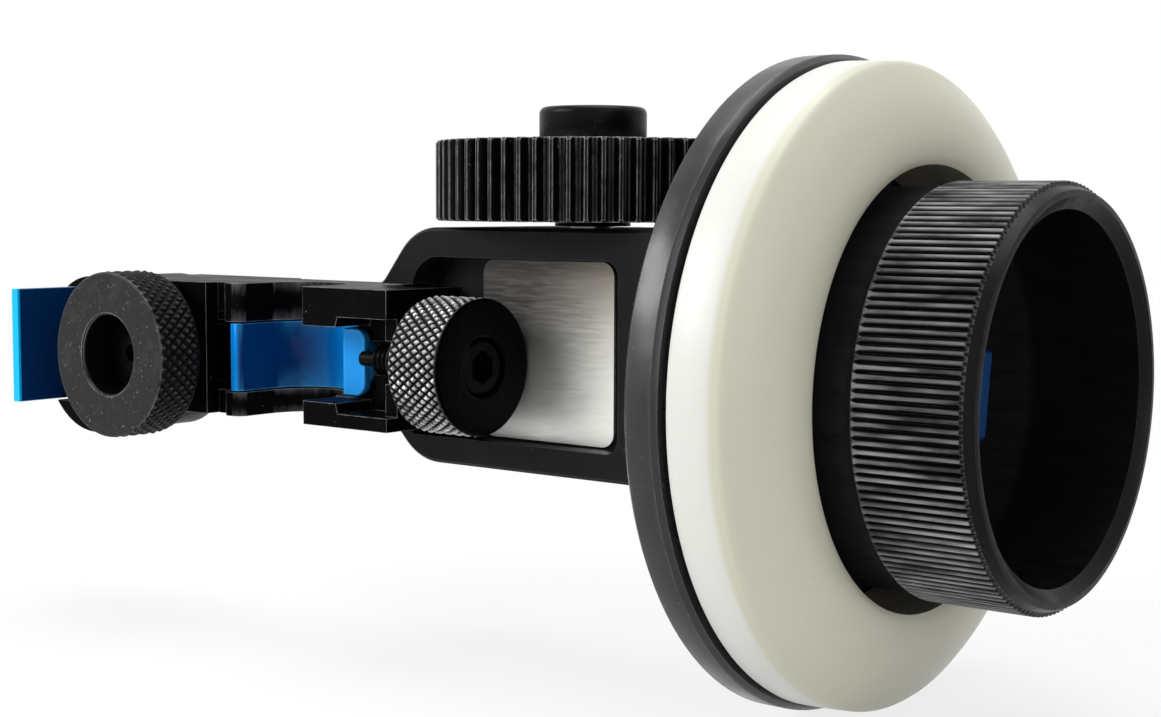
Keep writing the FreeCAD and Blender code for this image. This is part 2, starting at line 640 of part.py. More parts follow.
def make_jaw_bracket():
    """The arm's left half, a block with a round boss that guides the jaw's bar."""
    body = new_body("jaw_bracket")
    right = "-seam_x - seam_gap"
    pad(body, "XZ_Plane", "-arm_front", "arm_back",
        rectangle("-boss_open", right, "-arm_low", "arm_top"))
    pad(body, "XZ_Plane", "-arm_front", "boss_back", circle("-boss_x", "boss_z", "boss_radius"))
    room = "tab_half + body_gap"
    # the boss is open at the left, and the bar lies in a groove in the back face
    pocket(body, "XZ_Plane", "-arm_front - 1", "arm_back + 1",
           rectangle("-boss_x - boss_radius - 1", "-boss_open", "-(%s)" % room, room))
    pocket(body, "XZ_Plane", "bar_front - body_gap", "arm_back + 1",
           rectangle("-boss_x - boss_radius - 1", "-neck_x + body_gap", "-(%s)" % room, room))
    half = "jaw_half + body_gap"
    pocket(body, "XZ_Plane", "bar_front - body_gap", "arm_back + 1",
           rectangle("-neck_x - 1", "-seam_x + 1", "-(%s)" % half, half))
    sketch_hole(body, "XZ_Plane", "-arm_front - 1", "bar_front", "-jaw_knob_x", "jaw_knob_z",
                "jaw_screw_radius + slide_fit")
    for sign in ("", "-"):
        sketch_hole(body, "YZ_Plane", "-bracket_screw_seat - 1", "-seam_x + 1", "bracket_screw_y",
                    sign + "bracket_screw_z", "small_screw")
        sketch_hole(body, "YZ_Plane", "-boss_open - 1", "-bracket_screw_seat", "bracket_screw_y",
                    sign + "bracket_screw_z", "small_head + slide_fit")
        sketch_hole(body, "XZ_Plane", "arm_back + cover_thick - cover_screw_long", "arm_back + 1",
                    "-cover_screw_x", sign + "cover_screw_z", "cover_screw")
    return body


def make_rod_jaw():
    """The sliding jaw: a cradle that lies flush in the rod seat, its bar and its thumb tab."""
    body = new_body("rod_jaw")
    bar_back = "bar_front + bar_thick"
    pad(body, "XY_Plane", "-jaw_half", "jaw_half",
        polygon(("-neck_x - 0.5", "bar_front"), ("-rod_radius - jaw_wall", "bar_front"),
                ("-rod_radius - jaw_wall", "-jaw_front"), ("0", "-jaw_front"),
                ("0", "jaw_land"), ("jaw_end", "jaw_land"), ("jaw_end", bar_back),
                ("-neck_x - 0.5", bar_back)))
    pad(body, "XY_Plane", "-tab_half", "tab_half",
        polygon(("-tab_x", "-tab_front"), ("-tab_x + tab_thick", "-tab_front"),
                ("-tab_x + tab_thick", "bar_front"), ("-neck_x", "bar_front"),
                ("-neck_x", bar_back), ("-tab_x", bar_back)))
    pocket(body, "XY_Plane", "-jaw_half - 1", "jaw_half + 1", circle("0", "0", "rod_radius"))
    pocket(body, "XY_Plane", "-jaw_half - 1", "jaw_half + 1",
           rectangle("-rod_radius", "rod_radius", "-jaw_front - 1", "0"))
    dress(body, "Fillet", "0.6 * jaw_wall", lambda edge, middle, way: (
        abs(way.z) > 0.99 and near(middle.x, -size("rod_radius"))
        and near(middle.y, -size("jaw_front"))))
    dress(body, "Fillet", "1.2 * tab_thick", lambda edge, middle, way: (
        abs(way.z) > 0.99 and near(middle.x, -size("tab_x"))
        and near(middle.y, size("bar_front") + size("bar_thick"))))
    return body


def make_bracket_parts():
    keeper = new_body("jaw_keeper")
    pad(keeper, "XZ_Plane", "arm_back", "arm_back + cover_thick",
        rectangle("-boss_open + 1", "-seam_x - 1", "-arm_low", "arm_top"))
    for sign in ("", "-"):
        sketch_hole(keeper, "XZ_Plane", "arm_back - 1", "arm_back + cover_thick + 1",
                    "-cover_screw_x", sign + "cover_screw_z", "cover_screw")
    dress(keeper, "Fillet", "2 * cover_screw", lambda edge, middle, way: (
        abs(way.y) > 0.99 and middle.x < -size("boss_open") + 2))
    group("keeper_screws", [
        joined(rod("Y", "arm_back + cover_thick - cover_screw_long", "arm_back + cover_thick",
                   "cover_screw", "-cover_screw_x", sign + "cover_screw_z"),
               rod("Y", "arm_back + cover_thick", "arm_back + cover_thick + cover_screw",
                   "1.8 * cover_screw", "-cover_screw_x", sign + "cover_screw_z"))
        for sign in ("", "-")])
    group("bracket_screws", [
        cap_screw("X", "-bracket_screw_seat", -1, "small_head", "small_head_high",
                  "-bracket_screw_tip", "small_screw", "small_hex", "bracket_screw_y",
                  sign + "bracket_screw_z") for sign in ("", "-")])
    group("arm_screws", [
        cap_screw("Y", "arm_screw_seat", 1, "arm_head", "arm_head_high", "arm_screw_tip",
                  "arm_screw", "0.5 * arm_head", "arm_screw_x", sign + "arm_screw_z")
        for sign in ("", "-")])


def make_jaw_knob():
    """The knob on the jaw's lock screw, with a deep round recess in its face."""
    body = new_body("jaw_knob")
    face, back = "-jaw_knob_front", "-jaw_knob_front + jaw_knob_thick"
    floor = back + " - jaw_knob_floor"
    turn(body, [(floor, "jaw_screw_radius"), (floor, "jaw_knob_bore"), (face, "jaw_knob_bore"),
                (face, "jaw_knob_radius - knob_chamfer"),
                (face + " + knob_chamfer", "jaw_knob_radius"),
                (back + " - knob_chamfer", "jaw_knob_radius"),
                (back, "jaw_knob_radius - knob_chamfer"), (back, "jaw_knob_hub"),
                ("-arm_front - body_gap", "jaw_knob_hub"),
                ("-arm_front - body_gap", "jaw_screw_radius")], "jaw_screw")
    tip = "bar_front - body_gap - bar_thick"
    single("jaw_lock_screw", without(
        rod("Y", floor + " - 1.2", tip, "jaw_screw_radius", "-jaw_knob_x", "jaw_knob_z"),
        hexagon("Y", floor + " - 1.2", floor + " + 1.4", "0.55 * jaw_screw_radius",
                "-jaw_knob_x", "jaw_knob_z")))
    single("jaw_shoe", rod("Y", tip, "bar_front - slide_fit", "jaw_screw_radius",
                           "-jaw_knob_x", "jaw_knob_z"))


def make_pressure_parts():
    """The pad that presses the rod, its screw, its threaded bush and its knob."""
    body = new_body("pressure_pad")
    right = "pad_flat + pad_half"
    pad(body, "XZ_Plane", "pad_front", "pad_front + pad_thick",
        circle("pad_flat", "0", "pad_half"))
    pocket(body, "XZ_Plane", "pad_front - 1", "pad_front + pad_thick + 1",
           rectangle("pad_flat - pad_half - 1", "pad_flat", "-pad_half - 1", "pad_half + 1"))
    # a flat where the pressure screw's tip meets the round end
    pocket(body, "XZ_Plane", "pad_front - 1", "pad_front + pad_thick + 1",
           rectangle(right + " - pad_tip", right + " + 1", "-pad_half", "pad_half"))
    right += " - pad_tip"
    bush = "arm_end - bush_long"
    single("screw_bush", without(
        rod("X", bush, "arm_end", "screw_slot_half", "pad_screw_y", "pad_screw_z"),
        rod("X", bush + " - 1", "arm_end + 1", "pad_screw_radius + slide_fit", "pad_screw_y",
            "pad_screw_z")))
    knob = new_body("pressure_knob")
    back, face = "pad_knob_x", "pad_knob_x + pad_knob_thick"
    seat = face + " - cap_head_high"
    turn(knob, [(back, "pad_screw_radius"), (back, "pad_knob_radius - knob_chamfer"),
                (back + " + knob_chamfer", "pad_knob_radius"),
                (face + " - knob_chamfer", "pad_knob_radius"),
                (face, "pad_knob_radius - knob_chamfer"), (face, "cap_head_radius + 0.3"),
                (seat, "cap_head_radius + 0.3"), (seat, "pad_screw_radius")], "pad_screw")
    single("pressure_screw", cap_screw(
        "X", seat, 1, "cap_head_radius", "cap_head_high - 0.2", right, "pad_screw_radius",
        "hex_radius", "pad_screw_y", "pad_screw_z"))


# ---------------------------------------------------------------- the gearbox
def make_housing():
    """The gearbox housing, with the plate's recess, the gear chamber and the bores."""
    body = new_body("gearbox_housing")
    pad(body, "XZ_Plane", "box_front", "box_back",
        polygon(("belly_right", "-box_low"), ("box_right", "-box_low"), ("box_right", "box_top"),
                ("shoulder_top", "box_top"), ("shoulder_low", "arm_top"), ("foot_left", "arm_top"),
                ("foot_left", "-arm_low + 1"), ("belly_left", "-arm_low + 1")))
    dress(body, "Fillet", "corner_top", at_corner("shoulder_top", "box_top"))
    dress(body, "Fillet", "corner_low", at_corner("belly_right", "-box_low"))
    dress(body, "Fillet", "shoulder_foot", at_corner("shoulder_low", "arm_top"))
    # the recess for the plate, with a way in for the arm
    pocket(body, "XZ_Plane", "box_front - 1", "recess_floor",
           rectangle("recess_left", "recess_right", "-recess_low", "recess_top"))
    dress(body, "Fillet", "recess_round", at_corner("recess_left", "recess_top"))
    dress(body, "Fillet", "recess_corner", lambda edge, middle, way: (
        abs(way.y) > 0.99 and near(middle.x, size("recess_right"))
        and size("box_front") < middle.y < size("recess_floor")))
    gap = "body_gap"
    pocket(body, "XZ_Plane", "box_front - 1", "arm_tongue + " + gap,
           rectangle("foot_left - 1", "recess_left + 1", "-arm_low - 0.3", "arm_top + 0.3"))
    pocket(body, "XZ_Plane", "box_front - 1", "arm_back + " + gap,
           rectangle("foot_left - 1", "arm_heel + " + gap, "-arm_low - 1", "arm_top + 0.3"))
    # the gear chamber and the seat of its lid
    pocket(body, "XZ_Plane", "gear_room_front", "box_back + 1",
           rectangle("gear_room_left", "gear_room_right", "-gear_room_low", "gear_room_top"))
    wide, tall = "lid_margin", "lid_margin_low"
    pocket(body, "XZ_Plane", "box_back - lid_thick", "box_back + 1",
           rectangle("gear_room_left - " + wide, "gear_room_right + " + wide,
                     "-gear_room_low - " + tall, "gear_room_top + " + tall))
    dress(body, "Fillet", "lid_corner", lambda edge, middle, way: (
        abs(way.y) > 0.99 and middle.y > size("box_back") - size("lid_thick")
        and (near(middle.x, size("gear_room_left") - size("lid_margin"))
             or near(middle.x, size("gear_room_right") + size("lid_margin")))))
    # the axle's bore, the spindle's bore and the seats of their bushes
    sketch_hole(body, "YZ_Plane", "gear_room_right - 1", "box_right + 1", "axle_y", "0",
                "axle_radius + bush_wall")
    sketch_hole(body, "XY_Plane", "gear_room_top - 1", "box_top + 1", "gear_x", "axle_y",
                "spindle_radius + bush_wall")
    for sign in ("", "-"):
        sketch_hole(body, "XZ_Plane", "recess_floor - 1", "box_back + 1", "arm_screw_x",
                    sign + "arm_screw_z", "arm_screw")
        sketch_hole(body, "XZ_Plane", "arm_screw_seat", "box_back + 1", "arm_screw_x",
                    sign + "arm_screw_z", "arm_head + 0.3")
    for across, up in lid_corners():
        sketch_hole(body, "XZ_Plane", "box_back - lid_thick - lid_screw_long", "box_back",
                    across, up, "small_screw")
    dress(body, "Chamfer", "edge_break", lambda edge, middle, way: (
        near(middle.y, size("box_front")) and middle.x > size("belly_right")
        and (near(middle.z, size("box_top")) or near(middle.z, -size("box_low")))))
    return body


def lid_corners():
    """The places of the lid's screws, in the middle of its margin."""
    places = []
    for across in ("gear_room_left - 0.55 * lid_margin", "gear_room_right + 0.55 * lid_margin"):
        for up in ("-gear_room_low - 0.1 * lid_margin_low", "gear_room_top + 0.1 * lid_margin_low"):
            places.append((across, up))
    return places


def make_gearbox_parts():
    body = new_body("gearbox_lid")
    wide, tall = "lid_margin - 0.1", "lid_margin_low - 0.1"
    pad(body, "XZ_Plane", "box_back - lid_thick", "box_back",
        rectangle("gear_room_left - (%s)" % wide, "gear_room_right + " + wide,
                  "-gear_room_low - (%s)" % tall, "gear_room_top + " + tall))
    dress(body, "Fillet", "lid_corner - 0.1", lambda edge, middle, way: abs(way.y) > 0.99)
    for across, up in lid_corners():
        sketch_hole(body, "XZ_Plane", "box_back - lid_thick - 1", "box_back + 1", across, up,
                    "small_screw")
    group("lid_screws", [
        cap_screw("Y", "box_back", 1, "small_head", "small_head_high",
                  "box_back - lid_thick - lid_screw_long", "small_screw", "small_hex", across, up)
        for across, up in lid_corners()])
    plate = new_body("name_plate")
    pad(plate, "XZ_Plane", "recess_floor - plate_thick", "recess_floor",
        rectangle("plate_left", "plate_right", "-plate_low", "plate_top"))
    dress(plate, "Fillet", "plate_corner", lambda edge, middle, way: abs(way.y) > 0.99)
    # flanged bushes: two carry the axle, one carries the spindle
    outer, inner = "axle_radius + bush_wall", "axle_radius + slide_fit"
    bore_end = "box_right"
    left = new_body("axle_bush_inner")
    start = "gear_room_right"
    turn(left, [(start + " - bush_flange_thick", inner),
                (start + " - bush_flange_thick", outer + " + bush_flange"),
                (start, outer + " + bush_flange"), (start, outer), (start + " + axle_bush", outer),
                (start + " + axle_bush", inner)])
    right = new_body("axle_bush_outer")
    turn(right, [(bore_end + " - axle_bush", inner), (bore_end + " - axle_bush", outer),
                 (bore_end, outer), (bore_end, inner)])
    outer, inner = "spindle_radius + bush_wall", "spindle_radius + slide_fit"
    top = new_body("spindle_bush")
    low = "gear_room_top"
    turn(top, [(low + " - bush_flange_thick", inner),
               (low + " - bush_flange_thick", outer + " + bush_flange"),
               (low, outer + " + bush_flange"), (low, outer), ("box_top", outer),
               ("box_top", inner)], "spindle")


# ---------------------------------------------------------------- axle, spindle and gears
def make_gear_train():
    """The axle, the spindle and their mitre gears, and the drive gear under its cap nut."""
    apex = FreeCAD.Vector(size("gear_x"), size("axle_y"), 0)
    upright = FreeCAD.Rotation()
    sideways = FreeCAD.Rotation(FreeCAD.Vector(0, 1, 0), 90)
    solid_node("spindle_mitre_gear", mitre_gear_shape(size("spindle_radius"), 0.0),
               FreeCAD.Placement(apex, upright))
    solid_node("axle_mitre_gear", mitre_gear_shape(size("axle_radius"), 0.5),
               FreeCAD.Placement(apex, sideways))
    solid_node("drive_gear", drive_gear_shape(), FreeCAD.Placement(
        apex + FreeCAD.Vector(0, 0, size("drive_low")), upright))

    reach = "mitre_teeth * mitre_module / 2"
    axle = new_body("wheel_axle")
    start = "gear_x + (%s) * 0.62" % reach
    turn(axle, [(start, "0"), (start, "axle_radius"), ("flange_back + flange_thick", "axle_radius"),
                ("flange_back + flange_thick", "axle_radius * 0.75"),
                ("flange_back + flange_thick + cup_floor", "axle_radius * 0.75"),
                ("flange_back + flange_thick + cup_floor", "0")])
    spindle = new_body("gear_spindle")
    low = "(%s) * 0.62" % reach
    cap = "drive_low + drive_thick"
    turn(spindle, [(low, "0"), (low, "spindle_radius"), (cap, "spindle_radius"),
                   (cap, "spindle_radius * 0.75"), (cap + " + cap_high * 0.7", "spindle_radius * 0.75"),
                   (cap + " + cap_high * 0.7", "0")], "spindle")
    collar = new_body("gear_collar")
    turn(collar, [("box_top + body_gap", "spindle_radius"), ("box_top + body_gap", "collar_radius"),
                  ("drive_low", "collar_radius"), ("drive_low", "spindle_radius")], "spindle")
    nut = new_body("gear_cap_nut")
    turn(nut, [(cap, "spindle_radius * 0.75"), (cap, "cap_radius"),
               (cap + " + cap_high", "cap_radius"), (cap + " + cap_high", "0"),
               (cap + " + cap_high * 0.7", "0"),
               (cap + " + cap_high * 0.7", "spindle_radius * 0.75")], "spindle")
    dress(nut, "Fillet", "cap_round", lambda edge, middle, way: near(middle.z, number(cap + " + cap_high")))


# ---------------------------------------------------------------- the hand wheel
def make_hand_wheel():
    """The flange, the cup shaped hand knob, its crank socket, and the marking disc."""
    face = "flange_back + flange_thick"
    flange = new_body("wheel_flange")
    turn(flange, [("flange_back", "axle_radius"), ("flange_back", "flange_radius - flange_bevel"),
                  ("flange_back + flange_bevel", "flange_radius"),
                  (face + " - flange_bevel", "flange_radius"),
                  (face, "flange_radius - flange_bevel"), (face, "axle_radius")])
    wheel_holes(flange, "flange_back - 1", "flange_back + small_head_high", "flange_screw_count",
                "flange_screw_circle", "small_head")
    wheel_holes(flange, "flange_back", face + " + 1", "flange_screw_count",
                "flange_screw_circle", "small_screw")
    wheel_holes(flange, face + " - magnet_thick", face + " + 1", "magnet_count", "magnet_circle",
                "magnet_radius")

    knob = new_body("hand_knob")
    turn(knob, [(face, "axle_radius * 0.75"), (face, "knob_hub_radius"),
                (face + " + knurl_start - 0.6", "knob_hub_radius"),
                (face + " + knurl_start", "knurl_radius"),
                (face + " + knurl_end", "knurl_radius"),
                (face + " + knurl_end + 0.6", "knob_hub_radius + 0.6"),
                (face + " + knob_end - 0.4", "rim_radius"), (face + " + knob_end", "rim_radius - 0.4"),
                (face + " + knob_end", "cup_mouth"),
                (face + " + knob_end - 0.9", "cup_radius"),
                (face + " + cup_floor + cup_hollow", "cup_radius"),
                (face + " + cup_floor", "cup_radius - cup_hollow"),
                (face + " + cup_floor", "axle_radius * 0.75")])
    wheel_holes(knob, face + " - 1", "flange_back + small_head_high + flange_screw_long",
                "flange_screw_count", "flange_screw_circle", "small_screw")

    socket = new_body("crank_socket")
    start, end = face + " + cup_floor", face + " + socket_face"
    sketch = new_sketch(socket, "YZ_Plane", start, "axle_y", "0")
    bind(sketch, "AttachmentOffset.Rotation.Angle", "socket_turn")
    draw_box(sketch, "-socket_half", "socket_half", "-socket_half", "socket_half")
    block = socket.newObject("PartDesign::Pad", "pad")
    block.Profile = sketch
    bind(block, "Length", "socket_face - cup_floor")
    finish_feature(socket, block, True)
    hole = new_sketch(socket, "YZ_Plane", end + " - socket_deep", "axle_y", "0")
    bind(hole, "AttachmentOffset.Rotation.Angle", "socket_turn")
    draw_box(hole, "-socket_hole", "socket_hole", "-socket_hole", "socket_hole")
    cut = socket.newObject("PartDesign::Pocket", "pocket")
    cut.Profile = hole
    cut.Reversed = True
    bind(cut, "Length", "socket_deep + 1")
    finish_feature(socket, cut, False)
    dress(socket, "Chamfer", "edge_break", lambda edge, middle, way: near(
        middle.x, number(end)) and abs(middle.y - size("axle_y")) + abs(middle.z) > size("socket_half"))

    disc = new_body("marking_disc")
    back = face + " + disc_gap"
    turn(disc, [(back, "disc_hole"), (back, "disc_back_radius"), (back + " + disc_rim", "disc_rim_radius"),
                (face + " + disc_shoulder", "disc_shoulder_radius"),
                (face + " + disc_high", "disc_hole + 2 * disc_round"),
                (face + " + disc_high", "disc_hole")])
    wheel_holes(disc, back + " - 1", back + " + magnet_thick", "magnet_count", "magnet_circle",
                "magnet_radius")
    dress(disc, "Fillet", "disc_round", lambda edge, middle, way: (
        near(middle.x, number(back + " + disc_rim"))))
    ring("flange_magnets", face + " - magnet_thick", face, "magnet_count", "magnet_circle",
         "magnet_radius")
    ring("disc_magnets", back, back + " + magnet_thick", "magnet_count", "magnet_circle",
         "magnet_radius")
    group("flange_screws", [
        cap_screw("X", "flange_back + small_head_high", -1, "small_head", "small_head_high",
                  "flange_back + small_head_high + flange_screw_long", "small_screw",
                  "small_hex", across, up)
        for across, up in wheel_places("flange_screw_count", "flange_screw_circle")])


def wheel_places(count, radius):
    """Places spread evenly round the wheel's axle, as (Y, Z) expressions."""
    places = []
    for index in range(int(size(count))):
        angle = "360 * %d / %s" % (index, count)
        places.append(("axle_y + %s * cos((%s) * 1 deg)" % (radius, angle),
                       "%s * sin((%s) * 1 deg)" % (radius, angle)))
    return places


def wheel_holes(body, start, end, count, circle_radius, radius):
    pocket(body, "YZ_Plane", start, end,
           *[circle(across, up, radius) for across, up in wheel_places(count, circle_radius)])


def ring(label, start, end, count, circle_radius, radius):
    group(label, [rod("X", start, end, radius, across, up)
                  for across, up in wheel_places(count, circle_radius)])


# ---------------------------------------------------------------- build, check and export
def main():
    make_clamp_arm()
    make_jaw_bracket()
    make_rod_jaw()
    make_bracket_parts()
    make_jaw_knob()
    make_pressure_parts()
    make_housing()
    make_gearbox_parts()
    make_gear_train()
    make_hand_wheel()
    doc.recompute()
    for item in doc.Objects:
        if "Invalid" in item.State or "Error" in item.State:
            raise RuntimeError("%s (%s) did not recompute" % (item.Name, item.Label))
    os.makedirs("parts", exist_ok=True)
    for label, item in NODES.items():
        if item.Shape.isNull() or not item.Shape.isValid() or not item.Shape.Solids:
            raise RuntimeError("%s has no valid solid" % label)
        item.Shape.exportStep("parts/%s.step" % label)
        box = item.Shape.BoundBox
        print("%-20s solids %2d  volume %9.1f  x %7.2f %7.2f  y %7.2f %7.2f  z %7.2f %7.2f" % (
            label, len(item.Shape.Solids), item.Shape.Volume, box.XMin, box.XMax,
            box.YMin, box.YMax, box.ZMin, box.ZMax))


main()
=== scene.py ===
"""Looks of the follow focus unit: materials, knurled grips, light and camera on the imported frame.

Everything is in metres in the frame of the CAD: +X out of the hand wheel, +Y away from the
operator's side, +Z along the rod.
"""
import json
import math

import bpy
from mathutils import Matrix, Vector


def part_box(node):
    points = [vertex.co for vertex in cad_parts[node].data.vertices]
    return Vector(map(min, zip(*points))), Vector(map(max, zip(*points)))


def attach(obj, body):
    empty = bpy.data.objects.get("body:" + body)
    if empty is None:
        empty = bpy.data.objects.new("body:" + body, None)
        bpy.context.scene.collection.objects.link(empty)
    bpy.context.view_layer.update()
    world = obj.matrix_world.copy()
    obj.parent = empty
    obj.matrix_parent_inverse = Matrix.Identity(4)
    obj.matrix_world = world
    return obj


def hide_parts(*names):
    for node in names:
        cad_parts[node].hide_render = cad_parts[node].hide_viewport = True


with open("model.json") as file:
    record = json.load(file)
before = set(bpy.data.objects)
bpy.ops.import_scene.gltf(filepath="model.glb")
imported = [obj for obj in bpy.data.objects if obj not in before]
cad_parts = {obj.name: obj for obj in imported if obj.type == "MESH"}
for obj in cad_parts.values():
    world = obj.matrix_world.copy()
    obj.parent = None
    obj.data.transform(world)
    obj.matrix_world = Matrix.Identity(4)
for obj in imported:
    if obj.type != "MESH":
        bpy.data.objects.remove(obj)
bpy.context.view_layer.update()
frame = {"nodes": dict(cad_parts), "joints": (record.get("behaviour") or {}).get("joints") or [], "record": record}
MM = 0.001

# ---------------------------------------------------------------- places read from the frame
AXLE = Vector(next(j["pos_m"] for j in frame["joints"] if j["name"] == "wheel_spin"))
JAW_SCREW = Vector(next(j["pos_m"] for j in frame["joints"] if j["name"] == "jaw_knob_spin"))
PAD_SCREW = Vector(next(j["pos_m"] for j in frame["joints"] if j["name"] == "pad_knob_spin"))


# ---------------------------------------------------------------- camera
PHOTO_WIDTH = 1161
SENSOR_WIDTH = 36.0
FOCAL_PIXELS = 1888.7
CAMERA_PLACE = Vector((0.232265, -0.216051, 0.026008))
CAMERA_AZIMUTH = math.radians(38.69)
CAMERA_HEIGHT = math.radians(4.74)
CAMERA_ROLL = math.radians(-0.222)


def make_camera():
    data = bpy.data.cameras.new("photo_camera")
    data.sensor_width = SENSOR_WIDTH
    data.lens = SENSOR_WIDTH * FOCAL_PIXELS / PHOTO_WIDTH
    data.clip_start = 0.01
    data.clip_end = 20
    camera = bpy.data.objects.new("photo_camera", data)
    bpy.context.scene.collection.objects.link(camera)
    back = Vector((math.sin(CAMERA_AZIMUTH) * math.cos(CAMERA_HEIGHT),
                   -math.cos(CAMERA_AZIMUTH) * math.cos(CAMERA_HEIGHT), math.sin(CAMERA_HEIGHT)))
    right = (-back).cross(Vector((0, 0, 1))).normalized()
    up = back.cross(right)
    turn = Matrix((right, up, back)).transposed().to_4x4()
    camera.matrix_world = (Matrix.Translation(CAMERA_PLACE) @ turn
                           @ Matrix.Rotation(-CAMERA_ROLL, 4, "Z"))
    bpy.context.scene.camera = camera


# ---------------------------------------------------------------- light, floor and background
FLOOR_LEVEL = -0.0475
FLOOR_SIZE = 12.0
FLOOR_SHADOW_END = 0.22
FLOOR_WHITE_FROM = 0.7
FLOOR_GLOW = 0.8
WORLD_STRENGTH = 0.30
LAMPS_AIM = Vector((0.06, 0.0, 0.0))
# name, place, width and height in metres, power in watts
LAMPS = (("key_left", (-0.55, -0.75, 0.55), 0.7, 0.5, 9.6),
         ("fill_right", (0.9, -0.35, 0.35), 0.5, 0.7, 1.5),
         ("top", (0.1, 0.15, 0.9), 0.8, 0.6, 6))


def area_light(name, place, width, height, power):
    data = bpy.data.lights.new(name, "AREA")
    data.shape = "RECTANGLE"
    data.size = width
    data.size_y = height
    data.energy = power
    lamp = bpy.data.objects.new(name, data)
    bpy.context.scene.collection.objects.link(lamp)
    lamp.location = place
    lamp.rotation_euler = (LAMPS_AIM - Vector(place)).to_track_quat("-Z", "Y").to_euler()


def shown_background(links, nodes, ray):
    """A factor that is 1 for the rays that should see the white background."""
    glossy = nodes.new("ShaderNodeMath")
    glossy.operation = "MAXIMUM"
    links.new(ray.outputs["Is Camera Ray"], glossy.inputs[0])
    links.new(ray.outputs["Is Glossy Ray"], glossy.inputs[1])
    through = nodes.new("ShaderNodeMath")
    through.operation = "MAXIMUM"
    links.new(glossy.outputs[0], through.inputs[0])
    links.new(ray.outputs["Is Transmission Ray"], through.inputs[1])
    return through.outputs[0]


def make_world():
    world = bpy.data.worlds.new("studio")
    world.use_nodes = True
    bpy.context.scene.world = world
    nodes, links = world.node_tree.nodes, world.node_tree.links
    nodes.clear()
    out = nodes.new("ShaderNodeOutputWorld")
    mix = nodes.new("ShaderNodeMixShader")
    dim = nodes.new("ShaderNodeBackground")
    dim.inputs["Color"].default_value = (1, 1, 1, 1)
    dim.inputs["Strength"].default_value = WORLD_STRENGTH
    white = nodes.new("ShaderNodeBackground")
    white.inputs["Color"].default_value = (1, 1, 1, 1)
    white.inputs["Strength"].default_value = 1.0
    ray = nodes.new("ShaderNodeLightPath")
    links.new(shown_background(links, nodes, ray), mix.inputs[0])
    links.new(dim.outputs[0], mix.inputs[1])
    links.new(white.outputs[0], mix.inputs[2])
    links.new(mix.outputs[0], out.inputs[0])


def make_floor():
    half = FLOOR_SIZE / 2
    mesh = bpy.data.meshes.new("floor")
    mesh.from_pydata([(-half, -half, 0), (half, -half, 0), (half, half, 0), (-half, half, 0)], [],
                     [(0, 1, 2, 3)])
    floor = bpy.data.objects.new("floor", mesh)
    floor.location = (0, 0, FLOOR_LEVEL)
    bpy.context.scene.collection.objects.link(floor)
    material = bpy.data.materials.new("pale_floor")
    material.use_nodes = True
    nodes, links = material.node_tree.nodes, material.node_tree.links
    nodes.clear()
    out = nodes.new("ShaderNodeOutputMaterial")
    matt = nodes.new("ShaderNodeBsdfDiffuse")
    matt.inputs["Color"].default_value = (0.9, 0.9, 0.9, 1)
    glow = nodes.new("ShaderNodeEmission")
    glow.inputs["Color"].default_value = (1, 1, 1, 1)
    glow.inputs["Strength"].default_value = 1.0
    mix = nodes.new("ShaderNodeMixShader")
    # the floor takes the shadow near the unit and turns to plain white further out
    place = nodes.new("ShaderNodeTexCoord")
    distance = nodes.new("ShaderNodeVectorMath")
    distance.operation = "LENGTH"
    links.new(place.outputs["Object"], distance.inputs[0])
    fade = nodes.new("ShaderNodeMapRange")
    fade.inputs["From Min"].default_value = FLOOR_SHADOW_END
    fade.inputs["From Max"].default_value = FLOOR_WHITE_FROM
    fade.inputs["To Min"].default_value = FLOOR_GLOW
    fade.inputs["To Max"].default_value = 1.0
    links.new(distance.outputs["Value"], fade.inputs["Value"])
    share = nodes.new("ShaderNodeMath")
    share.operation = "MULTIPLY"
    ray = nodes.new("ShaderNodeLightPath")
    links.new(shown_background(links, nodes, ray), share.inputs[0])
    links.new(fade.outputs[0], share.inputs[1])
    links.new(share.outputs[0], mix.inputs[0])
    links.new(matt.outputs[0], mix.inputs[1])
    links.new(glow.outputs[0], mix.inputs[2])
    links.new(mix.outputs[0], out.inputs[0])
    mesh.materials.append(material)


def make_studio():
    bpy.context.scene.view_settings.view_transform = "Standard"
    make_world()
    make_floor()
    for lamp in LAMPS:
        area_light(*lamp)


